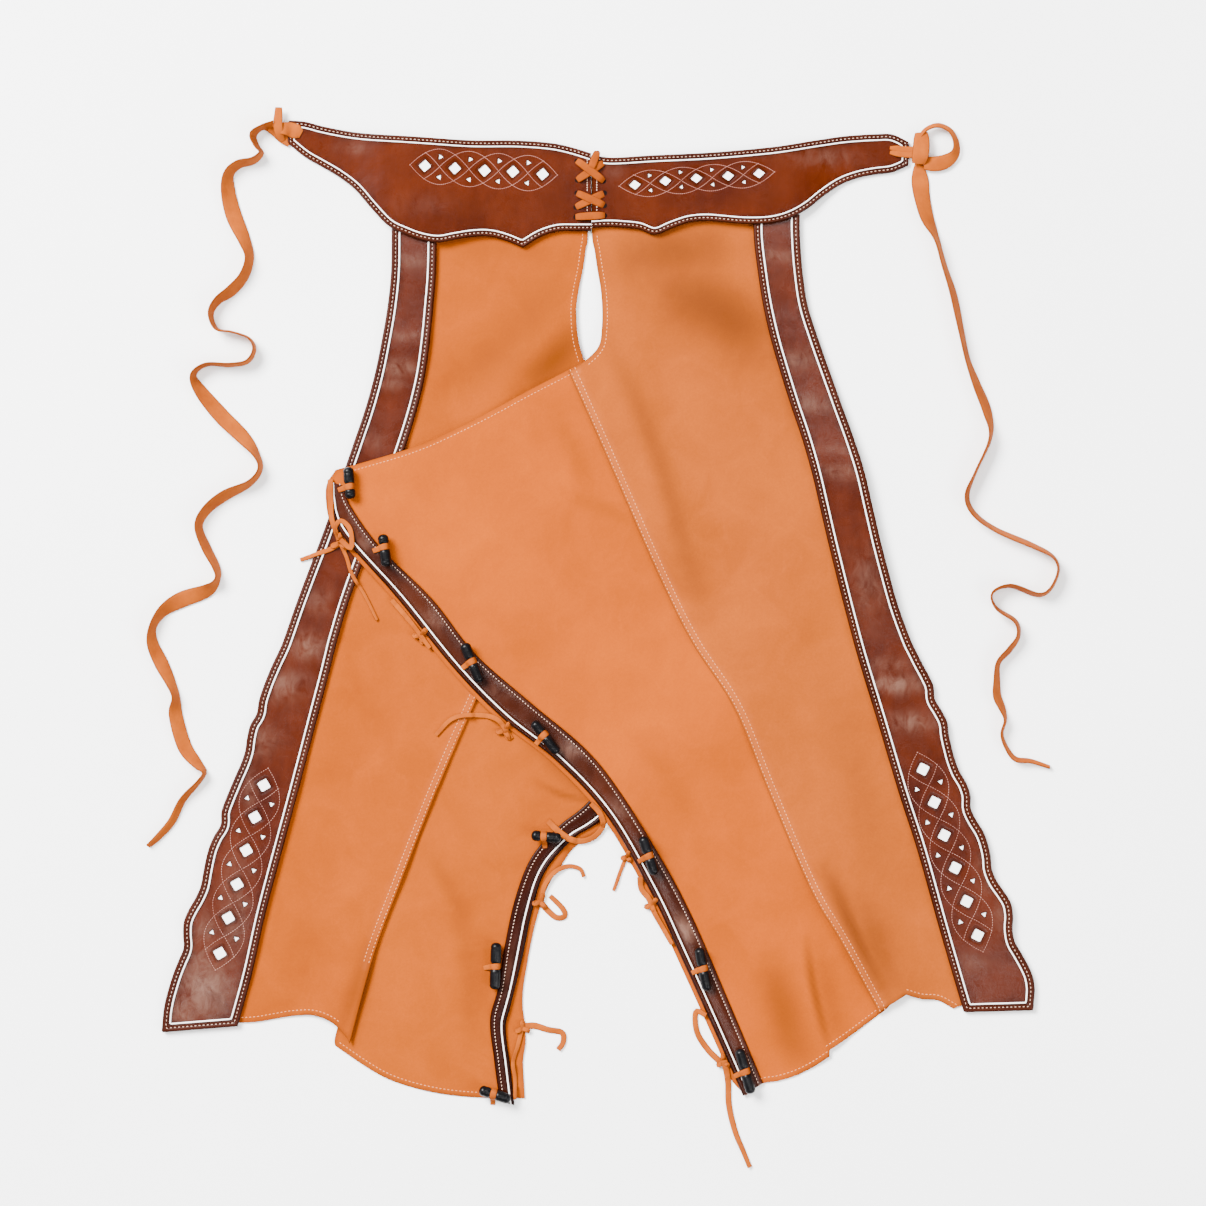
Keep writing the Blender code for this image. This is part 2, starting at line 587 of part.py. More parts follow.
def fold_height(name, points):
    """Height of a panel's large folds at layout points."""
    raised = np.zeros(len(points))
    for panel, start_a, start_d, end_a, end_d, half, height in FOLDS:
        if panel != name:
            continue
        start, end = np.array((start_a, start_d)), np.array((end_a, end_d))
        axis = end - start
        share = np.clip(((points - start) @ axis) / (axis @ axis), 0, 1)
        away = np.linalg.norm(points - (start + share[:, None] * axis), axis=1)
        swell = 0.75 + 0.25 * np.sin(math.pi * share)
        profile = np.cos(np.clip(away / half, 0, 1) * math.pi / 2) ** 2
        raised = np.maximum(raised, height * swell * profile)
    return raised


def join_edges(*edges):
    """One closed outline from edges in order, without doubled corners."""
    outline = []
    for edge in edges:
        for point in np.asarray(edge, float):
            if not outline or np.linalg.norm(point - outline[-1]) > 5.0:
                outline.append(point)
    if np.linalg.norm(outline[0] - outline[-1]) < 5.0:
        outline.pop()
    return np.array(outline)


def fill_outline(name, outline):
    """Triangles inside an outline, over its points, an even grid and the crests of its folds."""
    low, high = outline.min(axis=0), outline.max(axis=0)
    spots = []
    for panel, start_a, start_d, end_a, end_d, _, _ in FOLDS:
        if panel == name:
            count = max(2, round(math.hypot(end_a - start_a, end_d - start_d) / GRID_STEP) + 1)
            spots += list(np.linspace((start_a, start_d), (end_a, end_d), count))
    row = 0
    for down in np.arange(low[1], high[1], GRID_STEP * 0.87):
        shift = (row % 2) * GRID_STEP / 2
        spots += [np.array((across, down)) for across in np.arange(low[0] + shift, high[0], GRID_STEP)]
        row += 1
    kept = []
    edges = np.vstack((outline, outline[:1]))
    for spot in spots:
        start, step = edges[:-1], np.diff(edges, axis=0)
        share = np.clip(np.sum((spot - start) * step, axis=1) / np.sum(step * step, axis=1), 0, 1)
        border = np.linalg.norm(start + share[:, None] * step - spot, axis=1).min()
        crowd = min((np.linalg.norm(spot - other) for other in kept), default=1e9)
        if border > 0.5 * EDGE_STEP and crowd > 0.6 * GRID_STEP:
            kept.append(spot)
    points = [Vector(point) for point in outline] + [Vector(point) for point in kept]
    ring = list(range(len(outline)))
    filled = geometry.delaunay_2d_cdt(points, [], [ring], 1, 1e-5)
    used = sorted({index for face in filled[2] for index in face})
    renumbered = {index: number for number, index in enumerate(used)}
    flat = np.array([tuple(filled[0][index]) for index in used])
    return flat, [tuple(renumbered[index] for index in face) for face in filled[2]]


def thick_sheet(name, flat, triangles, bottom, top, material):
    """A closed sheet between two heights over the same triangles."""
    count = len(flat)
    points = [(*flat[k], bottom[k]) for k in range(count)]
    points += [(*flat[k], top[k]) for k in range(count)]
    faces = [tuple(reversed(face)) for face in triangles]
    faces += [tuple(index + count for index in face) for face in triangles]
    sides = {}
    for face in triangles:
        for start, end in zip(face, face[1:] + face[:1]):
            sides[(start, end)] = True
    for start, end in sides:
        if (end, start) not in sides:
            faces.append((start, end, end + count))
            faces.append((start, end + count, start + count))
    made = solid_from_faces(name, points, faces, material)
    GROUND.cover(points[count:], triangles)
    return made


def leather_panel(name, outline):
    """One leg piece, draped over all that lies below it, with its large folds."""
    flat, triangles = fill_outline(name, outline)
    rest = GROUND.read(GROUND.draped(), flat)
    corners, weights = [], []
    for triangle in triangles:
        shares = GROUND.shares(PANEL_SAMPLES)
        corners.append(np.tile(triangle, (len(shares), 1)))
        weights.append(shares)
    corners, weights = np.vstack(corners), np.vstack(weights)
    spots = np.einsum("ij,ijk->ik", weights, flat[corners])
    level = lift_clear(rest + np.minimum(GAP, rest), corners, weights, GROUND.needed(spots))
    bottom = level + fold_height(name, flat)
    return thick_sheet(name, flat, triangles, bottom, bottom + PANEL_THICK, SOFT_TAN)


def lattice_solid(name, grid, bottom, top, mask, material, covers=True):
    """A closed solid over the chosen cells of a grid of layout points."""
    rows, columns = mask.shape
    index, points, faces = {}, [], []

    def corner(i, j, level):
        key = (i, j, level)
        if key not in index:
            index[key] = len(points)
            height = (bottom, top)[level][i, j]
            points.append((grid[i, j, 0], grid[i, j, 1], height))
        return index[key]

    def wall(first, last):
        lower = corner(*first, 0), corner(*last, 0)
        upper = corner(*first, 1), corner(*last, 1)
        faces.append((lower[0], lower[1], upper[1]))
        faces.append((lower[0], upper[1], upper[0]))

    tops = []
    for i in range(rows):
        for j in range(columns):
            if not mask[i, j]:
                continue
            ring = ((i, j), (i + 1, j), (i + 1, j + 1), (i, j + 1))
            for level in (0, 1):
                ids = [corner(*spot, level) for spot in ring]
                halves = [(ids[0], ids[1], ids[2]), (ids[0], ids[2], ids[3])]
                faces.extend(halves)
                if level:
                    tops.extend(halves)
            beside = ((i, j - 1), (i + 1, j), (i, j + 1), (i - 1, j))
            for side, (bi, bj) in enumerate(beside):
                outside = not (0 <= bi < rows and 0 <= bj < columns and mask[bi, bj])
                if outside:
                    wall(ring[side], ring[(side + 1) % 4])
    made = solid_from_faces(name, points, faces, material)
    if covers:
        GROUND.cover(points, tops)
    return made


def trim_margins(widths, margins):
    """Distances of the trim's lines from an edge, drawn in where the piece is narrow."""
    scale = np.minimum(1.0, TRIM_SHARE_OF_WIDTH * widths / margins[-1])
    return scale[:, None] * np.asarray(margins)[None, :]


def trim_lattice(first, last, margins):
    """Rows from one edge to the other, with the trim's lines at true distances from both edges."""
    widths = np.linalg.norm(last - first, axis=1)
    straight = (last - first) / widths[:, None]
    reach = trim_margins(widths, margins)
    columns = []
    for edge, other, sign in ((first, last, 1), (last, first, -1)):
        squareness = np.abs(np.sum(side_normals(edge, other) * straight, axis=1))
        squareness[-CLOSED_ROWS:] = 1.0
        stretch = 1.0 / np.maximum(squareness, LEAST_SQUARENESS)
        columns.append([edge + sign * straight * (reach[:, k] * stretch)[:, None]
                        for k in range(len(margins))])
    return np.stack(columns[0] + columns[1][::-1], axis=1)


def ring_masks(rows, columns, start_row):
    """Cells of the binding and of the piping: a U along both edges and round the closed end."""
    binding = np.zeros((rows - 1, columns - 1), bool)
    piping = np.zeros((rows - 1, columns - 1), bool)
    binding[start_row:, [0, -1]] = True
    binding[-1, :] = True
    piping[start_row:-2, [2, -3]] = True
    piping[-3, 2:-2] = True
    piping[-2:, :] = False
    return binding, piping


def run_stations(rows, share_line, closed_margins):
    """Points of an edge at shares of its length, then at fixed distances from its closed end."""
    length = smooth_curve(rows)[1][-1]
    body = share_line * (length - closed_margins[0])
    runs = np.concatenate((body, length - np.array(closed_margins[1:])))
    return read_curve(rows, runs)


CLOSED_ROWS = len(BAND_TRIM)
LEAST_SQUARENESS = 0.55


def lens_frame(diamonds):
    """Start, unit run and unit side of a row of cut-outs, and the mean pitch."""
    first, last = np.array(diamonds[0], float), np.array(diamonds[-1], float)
    run = (last - first) / np.linalg.norm(last - first)
    pitch = np.linalg.norm(last - first) / (len(diamonds) - 1)
    return first, run, np.array((-run[1], run[0])), pitch


def prism_cutter(shape, across, down, corners, reach, turn):
    """Add an upright prism through the whole piece to a cutter's mesh."""
    made = bmesh.ops.create_cone(
        shape, cap_ends=True, segments=corners, radius1=reach * MM, radius2=reach * MM,
        depth=CUTTER_DEPTH * MM)
    spin = math.cos(turn), math.sin(turn)
    centre = place(across, down, CUTTER_MIDDLE)
    for vert in made["verts"]:
        x, y = vert.co.x, vert.co.y
        vert.co = (centre[0] + x * spin[0] - y * spin[1], centre[1] + x * spin[1] + y * spin[0],
                   centre[2] + vert.co.z)


def cut_figures(target, diamonds, diamond_reach, triangle_side, triangle_reach):
    """Cut the row of diamonds, and the pairs of small triangles between them."""
    shape = bmesh.new()
    _, run, side, _ = lens_frame(diamonds)
    run_turn = math.atan2(-run[1], run[0])
    for across, down in diamonds:
        prism_cutter(shape, across, down, 4, diamond_reach, run_turn)
    for first, last in zip(diamonds, diamonds[1:]):
        middle = (np.array(first) + np.array(last)) / 2
        for sign in (-1, 1):
            centre = middle + sign * triangle_side * side
            inward = -sign * side
            prism_cutter(shape, *centre, 3, triangle_reach, math.atan2(-inward[1], inward[0]))
    mesh = bpy.data.meshes.new(target.name + "_cuts")
    shape.to_mesh(mesh)
    shape.free()
    cutter = add_object(target.name + "_cuts", mesh, None, CUTTERS)
    cut = target.modifiers.new("cut_outs", "BOOLEAN")
    cut.operation = "DIFFERENCE"
    cut.solver = "EXACT"
    cut.object = cutter


def underlay(name, diamonds, half):
    """White leather under a row of cut-outs."""
    start, run, side, pitch = lens_frame(diamonds)
    length = pitch * (len(diamonds) - 1)
    along = np.linspace(-UNDERLAY_PAST_CUTS, length + UNDERLAY_PAST_CUTS, 4)
    grid = np.array([[start + run * s - side * half, start + run * s + side * half] for s in along])
    across = np.linspace(-half, half, 9)
    steps = np.arange(along[0], along[-1], CELL)
    spots = np.array([start + run * s + side * t for s in steps for t in across])
    level = float(GROUND.needed(spots).max())
    bottom = np.full(grid.shape[:2], level)
    mask = np.ones((len(along) - 1, 1), bool)
    lattice_solid(name, grid, bottom, bottom + UNDERLAY_THICK, mask, WHITE_LEATHER)


def dressed_piece(name, first, last, heights, start_row, trim):
    """A stiff base with its folded binding and its piping, all on one set of stations."""
    grid = trim_lattice(first, last, trim)
    rows, columns = grid.shape[:2]
    ends = heights[-1], heights[-CLOSED_ROWS]
    heights[-CLOSED_ROWS:] = np.interp(trim[::-1], (0.0, trim[-1]), ends)
    bottom = np.repeat(heights[:, None], columns, axis=1)
    base_columns = [0, columns - 1]
    base_rows = [k for k in range(rows) if k not in (rows - 3, rows - 2)]
    base_grid = grid[np.ix_(base_rows, base_columns)]
    base_bottom = bottom[np.ix_(base_rows, base_columns)]
    whole = np.ones((len(base_rows) - 1, len(base_columns) - 1), bool)
    base = lattice_solid(name, base_grid, base_bottom, base_bottom + BASE_THICK, whole, GLOSSY_BROWN)
    seat = bottom + BASE_THICK + GAP
    binding, piping = ring_masks(rows, columns, start_row)
    lattice_solid(name + "_binding", grid, seat, seat + BINDING_THICK, binding, BINDING_BROWN)
    lattice_solid(name + "_piping", grid, seat, seat + PIPING_THICK, piping, WHITE_CORD)
    return base


def band(name, outer_rows, inner_rows, waves, diamonds):
    """One leg's side band over the panel, lifted over the underlay of its cut-outs."""
    closing = BAND_TRIM[::-1]
    curve, run = smooth_curve(outer_rows)
    split = float(np.interp(SCALLOP_TOP, curve[:, 1], run))
    body = run[-1] - closing[0]
    upper = np.linspace(0, split, round(split / SMOOTH_STEP) + 1)[:-1]
    lower = np.linspace(split, body, round((body - split) / SCALLOP_STEP) + 1)
    share_line = np.concatenate((upper, lower)) / body
    outer = run_stations(outer_rows, share_line, closing)
    inner_curve, inner_run = smooth_curve(inner_rows)
    inner_body = inner_run[-1] - closing[0]
    down_share = np.interp(outer[:, 1], inner_curve[:, 1], inner_run)
    down_share = np.minimum(down_share[:-3], inner_body)
    inner = np.vstack((read_curve(inner_rows, down_share),
                       read_curve(inner_rows, inner_run[-1] - np.array(closing[1:]))))
    half = 0.5 * np.linalg.norm(read_curve(outer_rows, [run[-1] * 0.75]) -
                                read_curve(inner_rows, [inner_run[-1] * 0.75])) - UNDERLAY_INSET
    underlay(name + "_underlay", diamonds, half)
    downs = 0.5 * (outer[:, 1] + inner[:, 1])
    table = np.array(waves, float)
    heights = row_rests(outer, inner) + np.interp(downs, table[:, 0], table[:, 1])
    start_row = int(np.argmax(outer[:, 1] > BELT_COVERS_TO))
    base = dressed_piece(name, outer, inner, heights, start_row, BAND_TRIM)
    cut_figures(base, diamonds, BAND_DIAMOND_REACH, BAND_TRIANGLE_SIDE, BAND_TRIANGLE_REACH)


def belt(name, top_rows, bottom_outer, bottom_inner, diamonds, sizes):
    """One half of the belt over the leg tops, its closed end at the outer tip."""
    top_curve, top_run = smooth_curve(top_rows)
    sign = 1 if top_rows[0][0] < top_rows[-1][0] else -1
    bottom_curve = np.vstack((smooth_curve(bottom_outer)[0], smooth_curve(bottom_inner)[0][1:]))
    bottom_steps = np.linalg.norm(np.diff(bottom_curve, axis=0), axis=1)
    bottom_run = np.concatenate(([0], np.cumsum(bottom_steps)))
    centre, point, tip = top_rows[-1][0], bottom_outer[-1][0], top_rows[0][0] + sign * BELT_TIP
    inner_part = np.linspace(centre, point, round(abs(centre - point) / BELT_STEP) + 1)
    outer_part = np.linspace(point, tip, round(abs(tip - point) / BELT_STEP) + 1)
    acrosses = np.concatenate((inner_part, outer_part[1:]))

    def at_across(curve, run):
        runs = np.interp(sign * acrosses, sign * curve[:, 0], run)
        closing = np.array(BELT_TRIM[2::-1]) / BELT_TRIM[-1]
        return np.concatenate((runs, runs[-1] * closing))

    top_runs = at_across(top_curve, top_run)
    bottom_runs = at_across(bottom_curve, bottom_run)
    top = np.column_stack([np.interp(top_runs, top_run, top_curve[:, k]) for k in range(2)])
    bottom = np.column_stack([np.interp(bottom_runs, bottom_run, bottom_curve[:, k]) for k in range(2)])
    underlay(name + "_underlay", diamonds, BELT_UNDERLAY_HALF)
    heights = row_rests(top, bottom)
    base = dressed_piece(name, top, bottom, heights, 0, BELT_TRIM)
    cut_figures(base, diamonds, *sizes)


def row_rests(first, last):
    """A level for each row between two edges, soft along the run and clear of all below."""
    rows = np.arange(len(first) - 1)
    corners, weights, spots = [], [], []
    for along in np.linspace(0, 1, ROW_SAMPLES):
        start = first[:-1] * (1 - along) + first[1:] * along
        end = last[:-1] * (1 - along) + last[1:] * along
        for across in np.linspace(0, 1, 2 * ROW_SAMPLES):
            spots.append(start * (1 - across) + end * across)
            corners.append(np.column_stack((rows, rows + 1)))
            weights.append(np.tile((1 - along, along), (len(rows), 1)))
    needed = GROUND.needed(np.vstack(spots))
    corners, weights = np.vstack(corners), np.vstack(weights)
    least = np.full(len(first), GAP)
    np.maximum.at(least, corners.ravel(), np.repeat(needed, 2))
    soft = np.convolve(np.pad(least, 1, mode="edge"), (0.25, 0.5, 0.25), mode="valid")
    return lift_clear(np.maximum(soft, GAP), corners, weights, needed)


def closure_strip(name, inner_rows, outer_rows):
    """The toggle strip on a flap's edge: stitched inner side, piping, and a raised rolled edge."""
    inner_length = smooth_curve(inner_rows)[1][-1]
    count = round(inner_length / STRIP_STEP) + 1
    share = np.linspace(0, 1, count)
    inner = read_curve(inner_rows, share * inner_length)
    outer = read_curve(outer_rows, share * smooth_curve(outer_rows)[1][-1])
    normal = side_normals(outer, inner)
    lines = [outer + normal * reach for reach in
             (0.0, STRIP_PIPING_START - GAP, STRIP_PIPING_START, STRIP_PIPING_END)]
    grid = np.stack(lines + [inner], axis=1)
    heights = row_rests(inner, outer)
    bottom = np.repeat(heights[:, None], grid.shape[1], axis=1)
    top = bottom + STRIP_THICK
    top[:, 0:2] += STRIP_EDGE_LIFT
    mask = np.ones((count - 1, grid.shape[1] - 1), bool)
    strip = lattice_solid(name, grid, bottom, top, mask, GLOSSY_BROWN)
    seat = bottom + STRIP_THICK + GAP
    piping = np.zeros_like(mask)
    piping[:, 2] = True
    lattice_solid(name + "_piping", grid, seat, seat + PIPING_THICK, piping, WHITE_CORD)
    return strip


def toggle(name, start, end, neck_share):
    """A turned horn bar with a neck, and the thong loop round the neck."""
    start, end = np.array(start), np.array(end)
    length = np.linalg.norm(end - start)
    axis = (end - start) / length
    neck = length * neck_share
    half_neck = THONG_WIDTH / 2 + NECK_PLAY
    low, high = neck - half_neck, neck + half_neck
    profile = (
        (0.0, length), (BAR_TIP_RADIUS, length - BAR_ROUNDING), (BAR_END_RADIUS, length - BAR_TAPER),
        (BAR_RADIUS, high + BAR_TAPER), (NECK_RADIUS, high), (NECK_RADIUS, low),
        (BAR_RADIUS, low - BAR_TAPER), (BAR_END_RADIUS, BAR_TAPER), (BAR_TIP_RADIUS, BAR_ROUNDING),
        (0.0, 0.0),
    )
    centre = bar_level(start, axis, profile)
    mesh = bpy.data.meshes.new("toggle_" + name)
    points = [(radius * MM, 0.0, along * MM) for radius, along in profile]
    mesh.from_pydata(points, [(k, k + 1) for k in range(len(points) - 1)], [])
    bar = add_object("toggle_" + name, mesh, BLACK_HORN)
    turn = bar.modifiers.new("turned", "SCREW")
    turn.axis = "Z"
    turn.angle = math.tau
    turn.steps = BAR_SIDES
    turn.render_steps = BAR_SIDES
    turn.use_merge_vertices = True
    turn.merge_threshold = 0.00001
    turn.use_smooth_shade = True
    world_axis = Vector((axis[0], -axis[1], 0.0))
    bar.rotation_mode = "QUATERNION"
    bar.rotation_quaternion = world_axis.to_track_quat("Z", "Y")
    bar.location = place(*start, centre)
    thong_loop("thong_" + name, start + axis * neck, axis, centre)


def bar_level(start, axis, profile):
    """Height of a bar's axis when it rests on what is below it."""
    across = np.array((-axis[1], axis[0]))
    radii, runs = np.array(profile[::-1]).T
    stations = np.linspace(0.0, runs[-1], round(runs[-1] / BAR_SAMPLE_STEP) + 1)
    turns = np.radians(np.linspace(-90, 90, BAR_TURNS))
    radius = np.interp(stations, runs, radii)[:, None]
    spots = (start + stations[:, None, None] * axis + across * (radius * np.sin(turns))[:, :, None])
    tops = GROUND.tops(spots.reshape(-1, 2)).reshape(spots.shape[:2])
    padded = np.pad(tops, 1, mode="edge")
    rows, columns = tops.shape
    near = [padded[i:i + rows, j:j + columns] for i in range(3) for j in range(3)]
    return float(np.max(np.max(near, axis=0) + GAP + radius * np.cos(turns)))


def thong_loop(name, middle, axis, centre):
    """A flat thong over the neck, both ends down at the strip."""
    across = np.array((-axis[1], axis[0]))
    inner = NECK_RADIUS + GAP
    thick = (inner + THONG_THICK) / inner
    feet = []
    for side in (inner, -inner):
        footprint = np.array([middle + across * side * out + axis * end * THONG_WIDTH
                              for out in np.linspace(1, thick, 4) for end in np.linspace(-0.5, 0.5, 7)])
        feet.append(min(rest_level(footprint, 0.0), centre - 1.0))
    path = [(inner, feet[0])]
    path += [(inner * math.cos(angle), centre + inner * math.sin(angle))
             for angle in np.linspace(0, math.pi, 6)]
    path.append((-inner, feet[1]))
    sections = []
    for k, (side, height) in enumerate(path):
        outward = (side * thick, height if k in (0, len(path) - 1) else centre + (height - centre) * thick)
        for lateral, level in ((side, height), outward):
            for end in (-0.5, 0.5):
                spot = middle + across * lateral + axis * end * THONG_WIDTH
                sections.append((*spot, level))
    swept_box(name, sections, SUEDE_TAN)


def swept_box(name, sections, material, group=None):
    """A closed strap through sections of four points: lower pair, then upper pair."""
    count = len(sections) // 4
    order = (0, 1, 3, 2)
    faces = []
    for k in range(count - 1):
        for side in range(4):
            start, end = 4 * k + order[side], 4 * k + order[(side + 1) % 4]
            faces.append((start, end, end + 4))
            faces.append((start, end + 4, start + 4))
    for k in (0, count - 1):
        ring = [4 * k + index for index in order]
        faces.append((ring[0], ring[1], ring[2]))
        faces.append((ring[0], ring[2], ring[3]))
    return solid_from_faces(name, sections, faces, material, group)


def flat_strap(name, route, width, thick, lift, material, group=None, least=0.0):
    """A strap that lies along a route on whatever is below it, no lower than the least levels."""
    line = np.array(route, float)
    tangent = np.gradient(line, axis=0)
    normal = np.column_stack((-tangent[:, 1], tangent[:, 0]))
    normal /= np.linalg.norm(normal, axis=1)[:, None]
    shares = np.linspace(-0.5, 0.5, 9) * FOOTPRINT_MARGIN
    flat = np.array([[point + side * share * width for share in shares]
                     for point, side in zip(line, normal)])
    levels = np.maximum(strap_levels(np.dstack((flat, np.zeros(flat.shape[:2])))), least)
    sections = []
    for point, side, level in zip(line, normal, levels):
        for height in (level + lift, level + lift + thick):
            for end in (-0.5, 0.5):
                sections.append((*(point + side * end * width), height))
    tops = []
    for upper in range(2, len(sections) - 4, 4):
        tops += [(upper, upper + 1, upper + 5), (upper, upper + 5, upper + 4)]
    GROUND.cover(sections, tops)
    return swept_box(name, sections, material, group)


def knot_lump(name, across, down, half_across, half_down, height, material, group=None):
    """A rounded lump of wound thong."""
    shape = bmesh.new()
    bmesh.ops.create_uvsphere(shape, u_segments=8, v_segments=5, radius=1.0)
    rise = height / 2
    steps = np.linspace(0, math.pi / 2, KNOT_RINGS)
    spots, offsets = [], []
    for inner, outer in zip(steps, steps[1:]):
        for turn in np.linspace(0, math.tau, KNOT_TURNS, endpoint=False):
            spots.append((across + math.sin(outer) * half_across * math.cos(turn),
                          down + math.sin(outer) * half_down * math.sin(turn)))
            offsets.append(-rise * math.cos(inner))
    centre = rest_level(np.array(spots), np.array(offsets))
    bmesh.ops.triangulate(shape, faces=shape.faces)
    shape.verts.index_update()
    points = [(across + vert.co.x * half_across, down - vert.co.y * half_down, centre + vert.co.z * rise)
              for vert in shape.verts]
    GROUND.cover(points, [tuple(vert.index for vert in face.verts) for face in shape.faces])
    for vert, point in zip(shape.verts, points):
        vert.co = place(*point)
    mesh = bpy.data.meshes.new(name)
    shape.to_mesh(mesh)
    shape.free()
    return add_object(name, mesh, material, group), centre


def join_solid(target, helper):
    """Union a helper with the target."""
    join = target.modifiers.new("join_" + helper.name, "BOOLEAN")
    join.operation = "UNION"
    join.solver = "EXACT"
    join.object = helper


def thong_tails():
    """Free tails of the toggle thongs with their knots, one node for each group."""
    for group in sorted({row[0] for row in TAIL_ROUTES}):
        made, lumps, raised = None, [], []
        GROUND.wait(True)
        for _, across, down, half_across, half_down in [row for row in TAIL_KNOTS if row[0] == group]:
            lump, middle = knot_lump(f"lump_{group}", across, down, half_across, half_down,
                                     TAIL_KNOT_HEIGHT, SUEDE_TAN, CUTTERS)
            lumps.append(lump)
            raised.append((np.array((across, down)), np.array((half_across, half_down)), middle))
        strands = [row for row in TAIL_ROUTES if row[0] == group]
        for number, (_, width, route) in enumerate(strands):
            line = even_curve(route, TAIL_STEP)
            least = np.zeros(len(line))
            for centre, halves, middle in raised:
                inside = np.linalg.norm((line - centre) / halves, axis=1) < 1
                least[inside] = middle - THONG_THICK
            name = f"tails_{group}" if made is None else f"strand_{group}_{number}"
            layer = None if made is None else CUTTERS
            strap = flat_strap(name, line, width, THONG_THICK, STRAND_LIFT * number, SUEDE_TAN, layer, least)
            if made is None:
                made = strap
            else:
                join_solid(made, strap)
        for lump in lumps:
            join_solid(made, lump)
        GROUND.wait(False)


def lacing():
    """The centre lace: crossing strands on the belt, one node for each crossing."""
    for piece in sorted({row[0] for row in LACES}):
        strands = [row for row in LACES if row[0] == piece]
        spots, offsets = [], []
        for _, start_a, start_d, end_a, end_d, level in strands:
            line = np.linspace((start_a, start_d), (end_a, end_d), 25)
            side = np.array((start_d - end_d, end_a - start_a)) / math.dist(line[0], line[-1])
            for share in np.linspace(-0.5, 0.5, 9) * FOOTPRINT_MARGIN:
                spots += list(line + side * share * LACE_WIDTH)
                offsets += [LACE_RISE * level] * len(line)
        rest = rest_level(np.array(spots), np.array(offsets))
        made = None
        for number, (_, start_a, start_d, end_a, end_d, level) in enumerate(strands):
            line = np.linspace((start_a, start_d), (end_a, end_d), 3)
            name = piece if made is None else f"strand_{piece}_{number}"
            layer = None if made is None else CUTTERS
            strap = level_strap(name, line, LACE_WIDTH, LACE_THICK, rest + LACE_RISE * level, layer)
            if made is None:
                made = strap
            else:
                join_solid(made, strap)


def level_strap(name, line, width, thick, level, group=None):
    """A straight strap at one level."""
    tangent = line[-1] - line[0]
    side = np.array((-tangent[1], tangent[0])) / np.linalg.norm(tangent)
    sections = []
    for point in line:
        for height in (level, level + thick):
            for end in (-0.5, 0.5):
                sections.append((*(point + side * end * width), height))
    return swept_box(name, sections, SUEDE_TAN, group)


def waist_tie(name, rows):
    """A long suede strap that turns between lying flat and standing on edge."""
    line = even_curve(rows, TIE_STEP)
    tangent = np.gradient(line[:, :2], axis=0)
    normal = np.column_stack((-tangent[:, 1], tangent[:, 0]))
    normal /= np.linalg.norm(normal, axis=1)[:, None]
    shares = [(end, through) for end in np.linspace(-0.5, 0.5, 9) for through in (-0.5, 0.5)]

    def section(station, side, ends):
        """Points of one section, their heights counted from its centre."""
        across, down, width, turn = station
        flat, up = math.cos(math.radians(turn)), math.sin(math.radians(turn))
        made = []
        for end, through in ends:
            shift = end * width * flat - through * TIE_THICK * up
            height = end * width * up + through * TIE_THICK * flat
            made.append((across + side[0] * shift, down + side[1] * shift, height))
        return np.array(made)

    levels = strap_levels(np.array([section(*pair, shares) for pair in zip(line, normal)]))
    corners = [(-0.5, -0.5), (0.5, -0.5), (-0.5, 0.5), (0.5, 0.5)]
    sections = []
    for level, pair in zip(levels, zip(line, normal)):
        sections += [(*point[:2], point[2] + level) for point in section(*pair, corners)]
    return swept_box(name, sections, SUEDE_TAN)


def left_leg():
    """The left leg, flat on the surface."""
    strip_edge = even_curve(STRIP_LEFT_OUTER[:6], EDGE_STEP) + np.array((FLAP_MARGIN, FLAP_MARGIN))
    back = join_edges(
        even_curve(FLAP_TOP_LEFT, EDGE_STEP), [FLAP_CORNER_LEFT], strip_edge,
        even_curve(FLAP_BACKING_LEFT, EDGE_STEP),
        even_curve(HEM_LEFT_BACK, EDGE_STEP)[::-1],
        shift_line(SEAM_LEFT, SEAM_UNDER, EDGE_STEP)[::-1],
    )
    leather_panel("panel_left_back", back)
    front = join_edges(
        even_curve(TOP_EDGE_LEFT, EDGE_STEP), even_curve(LEAF_LEFT, EDGE_STEP),
        shift_line(SEAM_LEFT, -SEAM_EDGE, EDGE_STEP),
        even_curve(HEM_LEFT_FRONT, EDGE_STEP)[::-1],
        even_curve(SIDE_LEFT, EDGE_STEP)[::-1],
    )
    leather_panel("panel_left_front", front)
    band("band_left", BAND_LEFT_OUTER, BAND_LEFT_INNER, BAND_LEFT_WAVES, BAND_LEFT_DIAMONDS)
    closure_strip("strip_left", STRIP_LEFT_INNER, STRIP_LEFT_OUTER)


